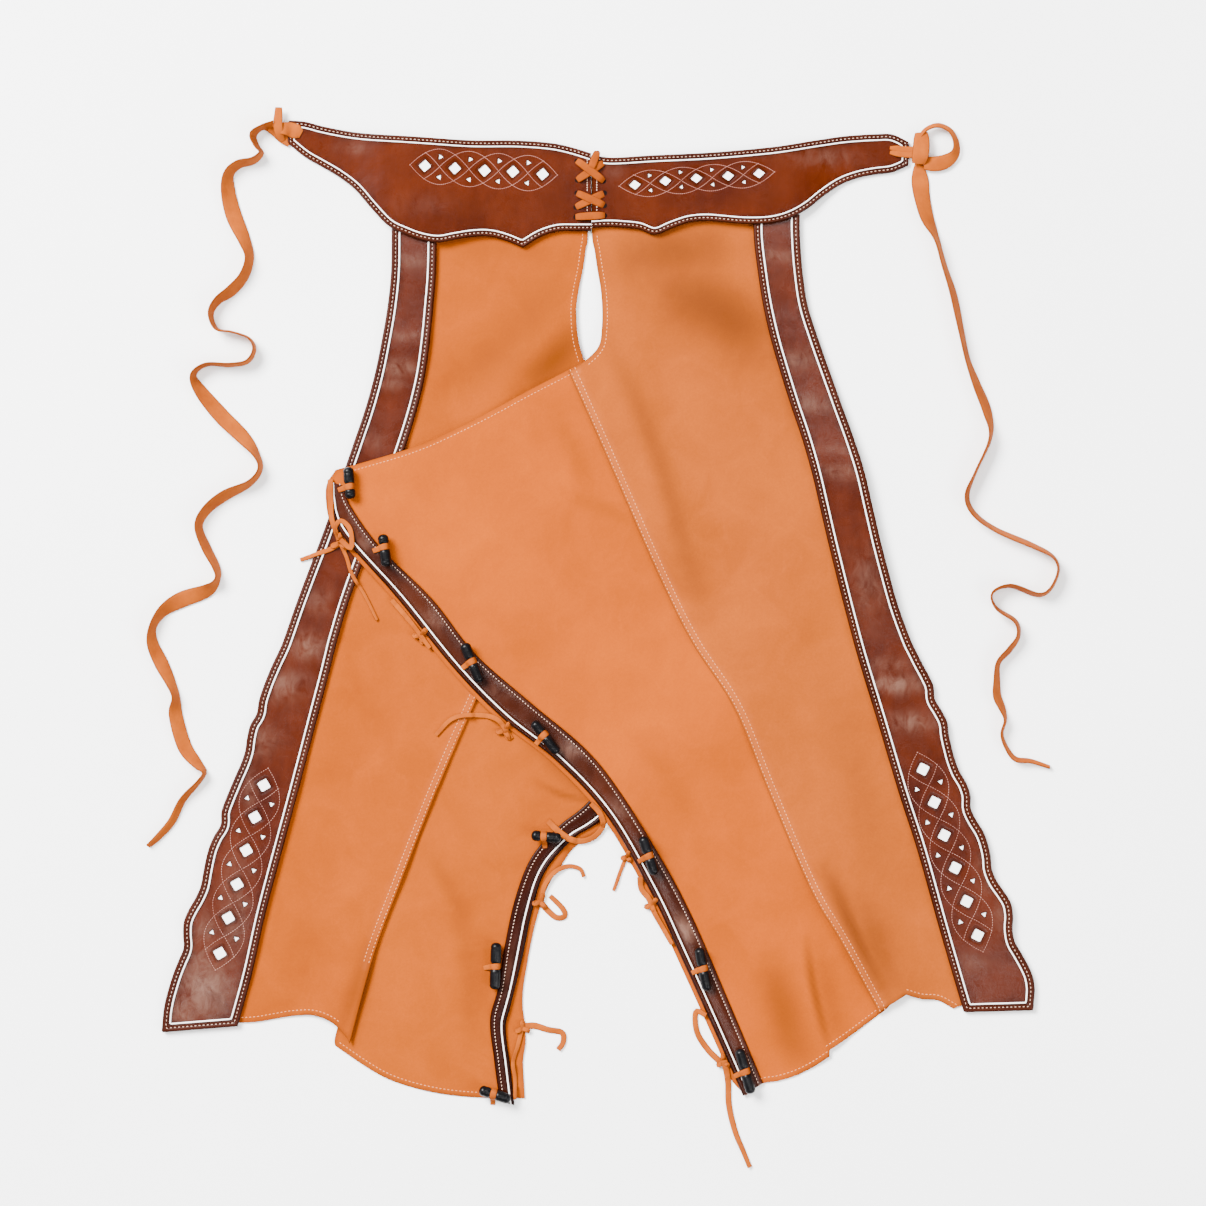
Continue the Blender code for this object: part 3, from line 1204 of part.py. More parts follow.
def right_leg():
    """The right leg, its flap over the left leg."""
    strip_edge = even_curve(STRIP_RIGHT_OUTER, EDGE_STEP) + np.array((-FLAP_MARGIN, FLAP_MARGIN))
    back = join_edges(
        even_curve(FLAP_TOP_RIGHT, EDGE_STEP), strip_edge[:-1],
        even_curve(HEM_RIGHT_BACK_OUTER, EDGE_STEP), even_curve(HEM_RIGHT_BACK_INNER, EDGE_STEP),
        shift_line(SEAM_RIGHT, -SEAM_UNDER, EDGE_STEP)[::-1],
    )
    leather_panel("panel_right_back", back)
    front = join_edges(
        even_curve(TOP_EDGE_RIGHT, EDGE_STEP), even_curve(SIDE_RIGHT, EDGE_STEP),
        even_curve(HEM_UNDER_BAND_RIGHT, EDGE_STEP)[::-1], even_curve(HEM_RIGHT_FRONT, EDGE_STEP)[::-1],
        shift_line(SEAM_RIGHT, SEAM_EDGE, EDGE_STEP)[::-1],
        even_curve(LEAF_RIGHT, EDGE_STEP)[::-1],
    )
    leather_panel("panel_right_front", front)
    band("band_right", BAND_RIGHT_OUTER, BAND_RIGHT_INNER, BAND_RIGHT_WAVES, BAND_RIGHT_DIAMONDS)
    closure_strip("strip_right", STRIP_RIGHT_INNER, STRIP_RIGHT_OUTER)


def toggles(side):
    """All the toggles of one leg that show."""
    for name, start_a, start_d, end_a, end_d, neck in TOGGLES:
        if name.startswith(side):
            toggle(name, (start_a, start_d), (end_a, end_d), neck)


def waist():
    """Both belt halves, the lace between them and the ties at their ends."""
    below = GROUND.height.copy()
    belt("belt_left", BELT_LEFT_TOP, BELT_LEFT_BOTTOM_OUTER, BELT_LEFT_BOTTOM_INNER, BELT_LEFT_DIAMONDS,
         (BELT_LEFT_DIAMOND_REACH, BELT_LEFT_TRIANGLE_SIDE, BELT_TRIANGLE_REACH))
    with_left, GROUND.height = GROUND.height, below
    belt("belt_right", BELT_RIGHT_TOP, BELT_RIGHT_BOTTOM_OUTER, BELT_RIGHT_BOTTOM_INNER,
         BELT_RIGHT_DIAMONDS,
         (BELT_RIGHT_DIAMOND_REACH, BELT_RIGHT_TRIANGLE_SIDE, BELT_TRIANGLE_REACH))
    GROUND.height = np.maximum(GROUND.height, with_left)
    lacing()
    GROUND.wait(True)
    knot, middle = knot_lump("knot_left", *KNOT_LEFT, KNOT_LEFT_HEIGHT, SUEDE_TAN)
    end = flat_strap("short_end", even_curve(KNOT_LEFT_END, KNOT_STEP), SHORT_END_WIDTH, TIE_THICK,
                     0.0, SUEDE_TAN, CUTTERS, middle - TIE_THICK)
    join_solid(knot, end)
    knot, middle = knot_lump("knot_right", *KNOT_RIGHT, KNOT_RIGHT_HEIGHT, SUEDE_TAN)
    loop = flat_strap("tie_loop", even_curve(KNOT_RIGHT_LOOP, KNOT_STEP), LOOP_WIDTH, LOOP_THICK,
                      0.0, SUEDE_TAN, CUTTERS, middle - LOOP_THICK)
    join_solid(knot, loop)
    GROUND.wait(False)
    waist_tie("tie_left", TIE_LEFT_ROUTE)
    waist_tie("tie_right", TIE_RIGHT_ROUTE)


left_leg()
right_leg()
waist()
thong_tails()
toggles("left")
toggles("right")
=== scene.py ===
"""Looks of the leather chaps: draped leather, stitched bands and belt, horn toggles, thongs and ties.

Places are layout millimetres, as in the part: across to the viewer's right and down towards the hems.
"""
import math

import bmesh
import bpy
import numpy as np
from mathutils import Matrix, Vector, geometry
from mathutils.bvhtree import BVHTree


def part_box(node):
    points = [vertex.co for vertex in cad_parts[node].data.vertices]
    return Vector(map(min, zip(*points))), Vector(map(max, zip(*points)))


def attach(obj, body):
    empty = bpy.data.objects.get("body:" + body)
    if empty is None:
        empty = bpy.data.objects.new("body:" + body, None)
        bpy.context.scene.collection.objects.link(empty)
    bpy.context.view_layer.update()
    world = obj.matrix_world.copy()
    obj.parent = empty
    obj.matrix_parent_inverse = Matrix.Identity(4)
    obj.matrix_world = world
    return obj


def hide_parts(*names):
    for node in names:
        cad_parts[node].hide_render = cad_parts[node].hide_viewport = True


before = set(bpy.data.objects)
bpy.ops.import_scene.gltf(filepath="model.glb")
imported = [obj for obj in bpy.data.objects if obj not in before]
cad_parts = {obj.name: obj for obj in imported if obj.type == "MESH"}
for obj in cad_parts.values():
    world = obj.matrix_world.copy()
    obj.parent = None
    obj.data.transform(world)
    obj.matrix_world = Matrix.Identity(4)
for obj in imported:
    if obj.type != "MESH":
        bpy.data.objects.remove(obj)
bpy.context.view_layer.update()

MM = 0.001
CENTRE_ACROSS = 598.1
CENTRE_DOWN = 613.3
PHOTO_SIDE = 1206.0

PANEL_THICK = 1.8
BASE_THICK = 3.0
STRIP_THICK = 2.4
SKIN = 0.12
# Trim of the bands and the belt: binding width, stitches and piping from the edge, piping radius.
TRIMS = {"band": (6.5, 3.8, 7.7, 0.8), "belt": (4.8, 2.8, 6.0, 0.68)}
STITCH_PITCH = 4.1
STITCH_LENGTH = 1.8

# The folded binding over its base, rows of share of its width, height.
BINDING_PROFILE = (
    (0.0, 0.45), (0.04, 1.0), (0.1, 1.35), (0.2, 1.6), (0.36, 1.6), (0.47, 1.3), (0.58, 0.9),
    (0.69, 1.25), (0.8, 1.4), (0.9, 1.25), (0.96, 0.75), (1.0, 0.1),
)
# Height of a closure strip over its base, rows of distance from the outer edge, height.
STRIP_PROFILE = (
    (0.0, -0.9), (0.6, 0.1), (1.5, 0.8), (2.9, 1.15), (4.1, 0.75), (4.8, 0.1), (5.1, -0.3), (7.3, -0.3),
    (7.7, 0.0), (11.0, 0.25), (15.0, 0.3),
)
# The inner side of a strip, rows of distance from the inner edge, height.
STRIP_INNER_PROFILE = ((5.4, 0.2), (4.6, -0.15), (3.8, 0.2), (1.6, 0.1), (0.5, -0.3), (0.0, -0.9))
STRIP_STITCH = 4.6
STRIP_PITCH = 3.5
STRIP_PIPING_PLACE = 6.2

# Cut-outs: centres across, down of each row of diamonds, lens height, stitch pitch, stitch length.
CUT_ROWS = {
    "band_left": (((264, 785), (255, 817), (246.4, 850), (237.2, 884), (228.5, 917.5), (220, 953)),
                  20.0, 2.6, 1.75),
    "band_right": (((922.7, 769), (934, 802), (944, 835), (955, 867.6), (966.4, 901), (977.4, 935)),
                   20.0, 2.6, 1.75),
    "belt_left": (((425.2, 166.7), (455, 168.9), (484.6, 170.8), (512.9, 171.8), (542.6, 174.4)),
                  17.7, 2.0, 1.85),
    "belt_right": (((634.7, 185.2), (665.2, 181.3), (696.2, 178.6), (727.9, 176.4), (758.7, 174)),
                   13.2, 2.0, 1.85),
}

# Where each binding starts and ends, rows of piece, start across, start down, end across, end down.
BINDING_ENDS = {
    "band_left": ((392, 216), (436, 216)),
    "band_right": ((754.5, 214), (799.5, 216)),
    "belt_left": ((591.4, 154), (591.4, 230.9)),
    "belt_right": ((592.1, 155.6), (592.1, 228)),
}

# Closure strips, rows of across, down along the inner and the outer edge.
STRIP_RIGHT_INNER = (
    (345, 486), (351, 506), (381.6, 548.4), (432.7, 599.4), (474.8, 653), (529.7, 701.6), (585.8, 749),
    (621, 793), (662, 859.6), (692.7, 918), (728, 1000), (763, 1083),
)
STRIP_RIGHT_OUTER = (
    (330, 482), (331, 512), (347, 541), (395.7, 596), (453, 667), (501.6, 717), (558, 762), (607, 816),
    (650, 891), (680, 955), (713.5, 1029), (743, 1096),
)
STRIP_LEFT_INNER = (
    (826, 497), (795, 560), (745, 632), (690, 700), (628, 758), (585, 805), (559, 826), (531.6, 857),
    (515.5, 897), (504.8, 945), (498, 988), (490, 1020), (494, 1060), (499.5, 1102),
)
STRIP_LEFT_OUTER = (
    (848, 508), (818, 575), (768, 650), (712, 719), (650, 778), (600, 821.5), (573, 839), (545, 872),
    (532, 912), (521.5, 962), (510, 1008), (505.7, 1028), (510, 1066), (514.5, 1105),
)

# Rows of white stitches on the soft leather: piece, start and end on its edge, distance in, pitch.
EDGE_ROWS = (
    ("panel_right_front", (570, 372), (877, 1010), 2.4, 3.9),
    ("panel_right_front", (570, 372), (877, 1010), 7.6, 3.9),
    ("panel_left_front", (600, 368), (371, 962), 2.4, 3.9),
    ("panel_left_front", (600, 368), (371, 962), 7.6, 3.9),
    ("panel_right_front", (592, 236), (585, 361), 5.2, 3.8),
    ("panel_left_front", (588, 236), (583, 359), 5.2, 3.8),
    ("panel_right_back", (583, 362), (352, 467), 5.2, 3.8),
    ("panel_right_back", (829, 1056), (748, 1095), 5.2, 4.0),
    ("panel_right_back", (830, 1050), (884, 1011), 5.2, 4.0),
    ("panel_right_front", (905, 995), (953, 1009), 5.2, 4.0),
    ("panel_left_front", (238, 1023), (335, 1026), 5.2, 4.0),
    ("panel_left_back", (337, 1047), (515, 1099), 5.2, 4.0),
)

# Soft creases: piece, route, half width left and right of it when facing along it, height.
CREASES = (
    ("panel_left_front", ((436, 262), (505, 262), (566, 288)), 10, 16, 2.4),
    ("panel_left_front", ((490, 410), (520, 352), (545, 312)), 9, 15, 2.6),
    ("panel_left_front", ((425, 410), (480, 350), (560, 290)), 9, 14, -2.4),
    ("panel_left_front", ((405, 430), (440, 372), (452, 330)), 8, 16, 2.2),
    ("panel_left_front", ((380, 858), (350, 896), (316, 934)), 7, 12, 2.4),
    ("panel_left_front", ((352, 640), (330, 720), (322, 800)), 14, 22, 2.6),
    ("panel_left_front", ((420, 640), (400, 740), (372, 812)), 12, 18, 2.4),
    ("panel_left_front", ((262, 960), (250, 1000), (262, 1022)), 8, 14, 2.4),
    ("panel_left_front", ((300, 900), (290, 960), (298, 1012)), 9, 15, 2.6),
    ("panel_left_front", ((369, 932), (352, 985), (341, 1030)), 5, 9, -2.4),
    ("panel_left_back", ((430, 840), (464, 930), (480, 1040)), 7, 15, 3.4),
    ("panel_left_back", ((500, 770), (532, 800), (560, 812)), 6, 10, 3.0),
    ("panel_left_back", ((470, 736), (520, 790), (548, 822)), 5, 9, -2.2),
    ("panel_left_back", ((535, 786), (560, 800), (588, 807)), 4, 8, 3.0),
    ("panel_left_back", ((366, 572), (370, 602), (385, 622)), 6, 10, 2.8),
    ("panel_left_back", ((470, 700), (448, 728), (430, 760)), 8, 13, 2.6),
    ("panel_left_back", ((410, 950), (420, 1020), (450, 1080)), 9, 16, 2.6),
    ("panel_left_back", ((448, 880), (452, 960), (462, 1050)), 6, 10, -2.2),
    ("panel_right_back", ((552, 418), (566, 446), (582, 470)), 7, 12, 2.6),
    ("panel_right_back", ((564, 492), (606, 516), (652, 532)), 7, 13, 2.8),
    ("panel_right_back", ((456, 436), (463, 474), (466, 514)), 8, 14, 2.0),
    ("panel_right_back", ((382, 512), (470, 590), (560, 642), (620, 700)), 14, 26, 3.0),
    ("panel_right_back", ((632, 704), (700, 792), (742, 872)), 11, 18, 2.6),
    ("panel_right_back", ((802, 935), (812, 985), (830, 1050)), 5, 13, 3.6),
    ("panel_right_back", ((770, 900), (768, 980), (786, 1066)), 10, 18, 2.6),
    ("panel_right_back", ((690, 808), (706, 832), (738, 828)), 4, 6, 2.0),
    ("panel_right_back", ((770, 926), (774, 946), (788, 964)), 4, 5, 2.4),
    ("panel_right_back", ((660, 800), (690, 850), (700, 900)), 8, 12, 2.0),
    ("panel_right_back", ((744, 880), (764, 900), (800, 912)), 6, 9, 2.0),
    ("panel_right_front", ((606, 340), (650, 440), (682, 530), (702, 622)), 8, 20, 3.6),
    ("panel_right_front", ((632, 250), (694, 290), (762, 324)), 10, 24, 3.4),
    ("panel_right_front", ((812, 884), (856, 942), (905, 992)), 5, 13, 3.6),
    ("panel_right_front", ((838, 800), (866, 880), (884, 952)), 9, 17, 2.6),
    ("panel_right_front", ((722, 420), (756, 540), (800, 640)), 16, 26, 2.6),
    ("panel_right_front", ((650, 330), (720, 380), (770, 400)), 12, 22, 2.4),
    ("panel_right_front", ((640, 560), (700, 700), (790, 820)), 14, 24, 2.2),
)

# Painted shade in creases, valleys and below the belt and the flap's edge: piece, route, half width, strength
# from 0 to 1.
PAINTED_SHADES = (
    ("panel_left_front", ((568, 268), (520, 330), (440, 396)), 24, 0.5),
    ("panel_left_front", ((578, 322), (562, 352), (524, 388)), 18, 1.0),
    ("panel_left_front", ((436, 262), (500, 246), (560, 252)), 14, 0.3),
    ("panel_left_front", ((374, 932), (358, 980), (342, 1030)), 8, 0.6),
    ("panel_left_back", ((354, 560), (420, 622), (494, 704), (566, 770)), 12, 0.4),
    ("panel_left_back", ((448, 880), (466, 960), (470, 1050)), 10, 0.3),
    ("panel_left_back", ((520, 716), (560, 756), (600, 800)), 16, 0.85),
    ("panel_left_back", ((538, 783), (560, 794), (590, 801)), 4, 0.8),
    ("panel_left_back", ((425, 760), (412, 800), (398, 850)), 10, 0.2),
    ("panel_left_back", ((374, 950), (360, 1000), (350, 1040)), 7, 0.85),
    ("panel_left_back", ((426, 848), (450, 890), (468, 930)), 9, 0.4),
    ("panel_left_back", ((392, 610), (408, 600), (420, 632)), 12, 0.35),
    ("panel_right_back", ((556, 418), (574, 452), (590, 480)), 9, 0.3),
    ("panel_right_back", ((566, 492), (612, 512), (652, 530)), 8, 0.3),
    ("panel_right_back", ((840, 880), (856, 930), (870, 990)), 16, 0.45),
    ("panel_right_back", ((806, 940), (814, 990), (829, 1048)), 5, 1.0),
    ("panel_right_back", ((820, 950), (830, 1000), (842, 1042)), 12, 0.4),
    ("panel_right_front", ((604, 330), (630, 390), (655, 450), (676, 520), (700, 610)), 11, 0.55),
    ("panel_right_front", ((634, 256), (700, 292), (768, 322)), 18, 0.3),
    ("panel_right_front", ((660, 300), (706, 318), (752, 340)), 34, 0.35),
    ("panel_right_front", ((826, 868), (853, 930), (886, 996)), 9, 1.0),
    ("panel_right_front", ((762, 250), (780, 340), (812, 440)), 14, 0.35),
    ("panel_right_front", ((610, 262), (660, 252), (740, 250)), 26, 0.8),
    ("panel_right_front", ((655, 286), (710, 306), (768, 350)), 33, 1.0),
    ("panel_right_front", ((822, 640), (850, 760), (890, 900)), 26, 0.3),
    ("panel_right_back", ((770, 960), (786, 1020), (800, 1070)), 20, 0.8),
    ("panel_right_back", ((640, 740), (680, 800), (700, 860)), 12, 0.2),
    ("panel_right_front", ((860, 900), (874, 940), (888, 985)), 14, 0.6),
    ("panel_left_front", ((330, 880), (300, 950), (280, 1010)), 20, 0.12),
)

# Hazy wax and painted highlights on the bands, belt and strips, rows of piece, centre across, down, reach across,
# down, strength.
BLOOMS_AND_HIGHLIGHTS = (
    ("band_left", 205, 985, 26, 34, 1.0), ("band_left", 186, 1010, 14, 14, 0.9),
    ("band_left", 236, 905, 14, 50, 0.5), ("band_left", 206, 930, 10, 20, 0.6),
    ("band_left", 283, 686, 22, 14, 0.75), ("band_left", 306, 646, 18, 12, 0.9),
    ("band_left", 262, 740, 16, 16, 0.5), ("band_left", 250, 790, 8, 22, 0.5),
    ("band_left", 318, 600, 20, 14, 0.35), ("band_left", 404, 336, 24, 5, 0.6),
    ("band_left", 396, 368, 24, 8, 0.65), ("band_left", 390, 384, 14, 7, 0.4),
    ("band_left", 410, 262, 24, 7, 0.6), ("band_left", 372, 440, 14, 10, 0.3),
    ("band_right", 893, 684, 28, 9, 1.0), ("band_right", 886, 664, 24, 7, 0.5),
    ("band_right", 910, 722, 24, 9, 0.8), ("band_right", 842, 472, 24, 7, 0.6),
    ("band_right", 836, 450, 20, 5, 0.4), ("band_right", 799, 360, 22, 8, 0.7),
    ("band_right", 812, 404, 22, 9, 0.6), ("band_right", 776, 256, 22, 6, 0.5),
    ("band_right", 868, 582, 18, 34, 0.4), ("band_right", 985, 870, 10, 30, 0.3),
    ("band_right", 972, 962, 18, 9, 0.35), ("band_right", 1000, 915, 8, 16, 0.4),
    ("belt_left", 352, 148, 16, 7, 0.35), ("belt_left", 420, 205, 40, 10, 0.12),
    ("belt_right", 822, 158, 32, 9, 0.45), ("belt_right", 614, 172, 10, 12, 0.25),
    ("strip_right", 365, 542, 10, 12, 0.5), ("strip_right", 434, 613, 8, 14, 0.7),
    ("strip_right", 500, 684, 9, 14, 0.4), ("strip_right", 567, 751, 9, 14, 0.75),
    ("strip_right", 622, 806, 9, 14, 0.6), ("strip_right", 686, 928, 9, 14, 1.2),
    ("strip_left", 506, 960, 8, 30, 0.2),
)

# Toggles, rows of name, first end across, down, last end across, down, neck as a share of the length.
TOGGLES = (
    ("right_1", 349.1, 467.4, 351.5, 499.5, 0.60),
    ("right_2", 383.6, 534.5, 387.6, 567.0, 0.38),
    ("right_3", 464.6, 643.0, 480.6, 682.5, 0.46),
    ("right_4", 533.5, 721.0, 557.8, 753.0, 0.42),
    ("right_5", 642.4, 835.5, 654.8, 874.0, 0.50),
    ("right_6", 698.8, 947.0, 707.4, 990.0, 0.48),
    ("right_7", 739.0, 1048.0, 751.0, 1092.7, 0.50),
    ("left_5", 531.5, 834.5, 561.5, 838.0, 0.40),
    ("left_6", 496.5, 942.0, 495.0, 989.0, 0.50),
    ("left_7", 479.5, 1088.5, 511.0, 1098.6, 0.44),
)
THONG_WIDTH = 6.4
THONG_THICK = 1.5

# Thong tails, rows of group, width, then the route as across, down pairs.
TAIL_ROUTES = (
    ("right_12", 6.0, ((331, 480), (331.5, 500), (333, 520), (340, 542))),
    ("right_12", 5.5, ((341, 540), (352, 548), (351, 530), (342, 521), (336, 528), (339, 540))),
    ("right_12", 5.0, ((341, 543), (331, 549), (317, 554), (300, 560))),
    ("right_12", 4.0, ((341, 544), (347, 558), (352, 574), (364, 594), (377, 620))),
    ("right_3", 5.5, ((392, 600), (404, 614), (417, 630), (430, 648))),
    ("right_4", 5.5, ((511, 739), (497, 719), (471, 715), (452, 719), (436, 735))),
    ("right_5", 4.2, ((626.5, 856), (620, 873), (613.5, 891))),
    ("right_6", 6.0, ((640, 877), (641.5, 889), (649, 899), (654, 912), (663, 928), (672, 944))),
    ("right_7", 6.4, ((720, 1062), (708, 1050), (697, 1032), (696, 1012), (706, 1015))),
    ("right_7", 6.4, ((724, 1060), (728, 1081), (729, 1105), (735, 1131), (744, 1153), (750, 1167.6))),
    ("left_loop", 6.6, ((548, 821), (557, 830), (570, 839), (583, 841), (595, 836), (603, 825),
                        (600, 813), (591, 803))),
    ("left_6", 6.2, ((541, 903), (549, 912), (557, 918), (565, 916), (562, 908), (550, 896))),
    ("left_6", 5.2, ((541, 902), (545, 885), (555, 872), (568, 866.5), (580, 869), (584, 877))),
    ("left_7", 6.6, ((522, 1027), (534, 1026), (548, 1030), (562, 1033), (563, 1043), (558, 1050))),
    ("left_7", 4.6, ((522, 1028), (518, 1045), (513, 1062), (515, 1080), (515, 1099))),
)
# Knots of the tails, rows of group, across, down, half length across and down, turn in degrees.
TAIL_KNOTS = (
    ("right_12", 340, 543, 7.0, 8.0, 10),
    ("right_3", 421, 636, 6.0, 7.5, 40),
    ("right_4", 505, 731, 6.5, 8.0, 30),
    ("right_5", 627, 857, 4.0, 5.0, 20),
    ("right_6", 652, 906, 5.0, 7.0, 30),
    ("right_7", 723, 1062, 5.0, 6.0, 0),
    ("left_6", 540.5, 902, 6.0, 6.5, 20),
    ("left_7", 522.5, 1028, 6.0, 5.5, 0),
)

# Lacing strands at the centre front, rows of piece, start across, down, end across, down, level.
LACES = (
    ("lacing_upper", 577.5, 180.5, 603, 163.5, 0),
    ("lacing_upper", 577, 161.5, 603.5, 181.5, 1),
    ("lacing_upper", 597.5, 152.5, 591, 170, 2),
    ("lacing_lower", 576, 207.5, 604.5, 193.5, 0),
    ("lacing_lower", 577, 193.5, 604.5, 206, 1),
    ("lacing_bar", 576, 217.5, 604.5, 216, 0),
)
LACE_WIDTH = 8.0
LACE_THICK = 1.6
LACE_RISE = 0.9

# Waist ties, rows of across, down, width, turn of the strap in degrees: 0 lies flat, 90 stands on edge.
TIE_LEFT_ROUTE = (
    (272.6, 127.4, 17, 50), (262.5, 128.2, 17, 80), (253.6, 135.4, 17, 70), (257.1, 146.1, 17, 75),
    (262, 153.5, 17, 80), (253.6, 161.4, 17, 75), (239.3, 165, 17, 70), (229.3, 174.6, 17, 60),
    (228.5, 192, 17, 35), (234, 216, 17, 20), (245, 241, 17, 50), (250, 258, 17, 65),
    (244.6, 276.4, 17, 60), (232, 291, 17, 55), (218, 301.4, 17, 70), (211.4, 314, 17, 80),
    (217, 329, 17, 84), (232, 332, 17, 84), (249, 338, 17, 84), (255, 349, 17, 84), (248, 362, 17, 84),
    (230, 365.5, 17, 84), (207, 365, 17, 84), (194, 375, 17, 75), (201, 391, 17, 45),
    (221.4, 415.7, 17, 25), (243, 437, 17, 35), (257, 455, 17, 70), (260.7, 469.3, 17, 80),
    (250, 483.6, 17, 75), (225, 496, 17, 55), (207, 510.4, 17, 60), (199.3, 526.4, 17, 68),
    (207, 548, 17, 65), (217, 567.5, 17, 70), (217.9, 580, 17, 75), (207, 590.7, 17, 40),
    (182, 599.6, 17, 20), (164.3, 610.4, 16, 50), (153.6, 626.4, 16, 68), (153, 643, 16, 50),
    (161, 662, 16, 35), (171, 682, 16, 60), (176.5, 697, 16, 68), (176, 715, 16, 35),
    (184.6, 746.4, 15, 22), (198, 764, 14, 55), (205, 772, 13, 80), (199, 782, 12, 75),
    (183, 800, 11, 55), (172, 821.4, 10, 45), (158, 837.5, 9, 50), (148, 846.4, 7, 60),
)
TIE_RIGHT_ROUTE = (
    (919, 162.8, 8, 5), (919.6, 173, 15, 5), (920.4, 182, 18, 5), (922, 197, 18, 20), (927.4, 219, 18, 40),
    (936.6, 240, 17, 68), (944, 266, 17, 66), (953, 294, 17, 62), (960, 326.4, 17, 66),
    (967, 358.6, 17, 66), (976, 383.6, 17, 58), (987, 412, 17, 55), (990, 438, 17, 74),
    (975, 473, 17, 82), (966.6, 496, 17, 72), (974, 514, 17, 68), (996, 530, 17, 70),
    (1031, 545, 17, 72), (1052, 556, 17, 76), (1058, 570, 17, 76), (1050, 589, 17, 78),
    (1037, 595, 17, 80), (1010, 586, 17, 80), (992, 593, 17, 80), (996, 608, 17, 78),
    (1015, 621, 17, 76), (1018, 636, 16, 74), (1009, 650, 16, 66), (998, 663, 15, 66),
    (996.6, 682, 15, 58), (997, 696, 15, 53), (1002, 708, 14, 60), (1005.2, 720, 13, 76),
    (1001.8, 734, 12, 74), (1006.7, 748, 11, 66), (1015.6, 759, 10, 60), (1031, 761, 8, 62),
    (1050, 767, 5, 60),
)
TIE_THICK = 1.8

FIELD_LEFT, FIELD_RIGHT = 125.0, 1095.0
FIELD_TOP, FIELD_BOTTOM = 90.0, 1190.0
CELL = 2.5


# Materials

def srgb(red, green, blue):
    """Linear colour of display values from 0 to 255."""
    made = []
    for value in (red, green, blue):
        share = value / 255
        made.append(share / 12.92 if share <= 0.04045 else ((share + 0.055) / 1.055) ** 2.4)
    return (*made, 1.0)


class Paint:
    """A material under construction: small helpers over its nodes."""

    def __init__(self, name):
        self.material = bpy.data.materials.new(name)
        self.material.use_nodes = True
        self.nodes = self.material.node_tree.nodes
        self.links = self.material.node_tree.links
        self.shader = self.nodes["Principled BSDF"]
        self.place = self.nodes.new("ShaderNodeTexCoord").outputs["Object"]

    def put(self, socket, value):
        """Link a socket or set its value."""
        if isinstance(value, bpy.types.NodeSocket):
            self.links.new(value, socket)
        else:
            socket.default_value = value

    def noise(self, scale, detail=4.0, rough=0.55, stretch=(1, 1, 1), distortion=0.0):
        """A noise value from 0 to 1 in object space."""
        mapping = self.nodes.new("ShaderNodeMapping")
        mapping.inputs["Scale"].default_value = stretch
        self.links.new(self.place, mapping.inputs["Vector"])
        node = self.nodes.new("ShaderNodeTexNoise")
        node.inputs["Scale"].default_value = scale
        node.inputs["Detail"].default_value = detail
        node.inputs["Roughness"].default_value = rough
        node.inputs["Distortion"].default_value = distortion
        self.links.new(mapping.outputs["Vector"], node.inputs["Vector"])
        return node.outputs["Fac"]

    def cells(self, scale, stretch=(1, 1, 1)):
        """Distance to the nearest cell centre, as leather pores."""
        mapping = self.nodes.new("ShaderNodeMapping")
        mapping.inputs["Scale"].default_value = stretch
        self.links.new(self.place, mapping.inputs["Vector"])
        node = self.nodes.new("ShaderNodeTexVoronoi")
        node.inputs["Scale"].default_value = scale
        self.links.new(mapping.outputs["Vector"], node.inputs["Vector"])
        return node.outputs["Distance"]

    def attribute(self, name):
        """A value painted on the mesh."""
        node = self.nodes.new("ShaderNodeAttribute")
        node.attribute_name = name
        return node.outputs["Fac"]

    def spread(self, value, low, high):
        """Map a range of a value to 0 to 1."""
        node = self.nodes.new("ShaderNodeMapRange")
        self.links.new(value, node.inputs["Value"])
        node.inputs["From Min"].default_value = low
        node.inputs["From Max"].default_value = high
        return node.outputs["Result"]

    def mix(self, share, first, second, blend="MIX"):
        """Mix two colours."""
        node = self.nodes.new("ShaderNodeMix")
        node.data_type = "RGBA"
        node.blend_type = blend
        self.put(node.inputs["Factor"], share)
        self.put(node.inputs["A"], first)
        self.put(node.inputs["B"], second)
        return node.outputs["Result"]

    def maths(self, operation, first, second):
        """Arithmetic on two values."""
        node = self.nodes.new("ShaderNodeMath")
        node.operation = operation
        self.put(node.inputs[0], first)
        self.put(node.inputs[1], second)
        return node.outputs["Value"]

    def bump(self, height, strength, distance, below=None):
        """A bump over an optional earlier one."""
        node = self.nodes.new("ShaderNodeBump")
        node.inputs["Strength"].default_value = strength
        node.inputs["Distance"].default_value = distance
        self.links.new(height, node.inputs["Height"])
        if below is not None:
            self.links.new(below, node.inputs["Normal"])
        return node.outputs["Normal"]

    def finish(self, colour, roughness, normal=None, **fixed):
        """Connect the shader; fixed values go straight on its own sockets."""
        self.put(self.shader.inputs["Base Color"], colour)
        self.put(self.shader.inputs["Roughness"], roughness)
        if normal is not None:
            self.links.new(normal, self.shader.inputs["Normal"])
        for name, value in fixed.items():
            self.shader.inputs[name.replace("_", " ")].default_value = value
        return self.material


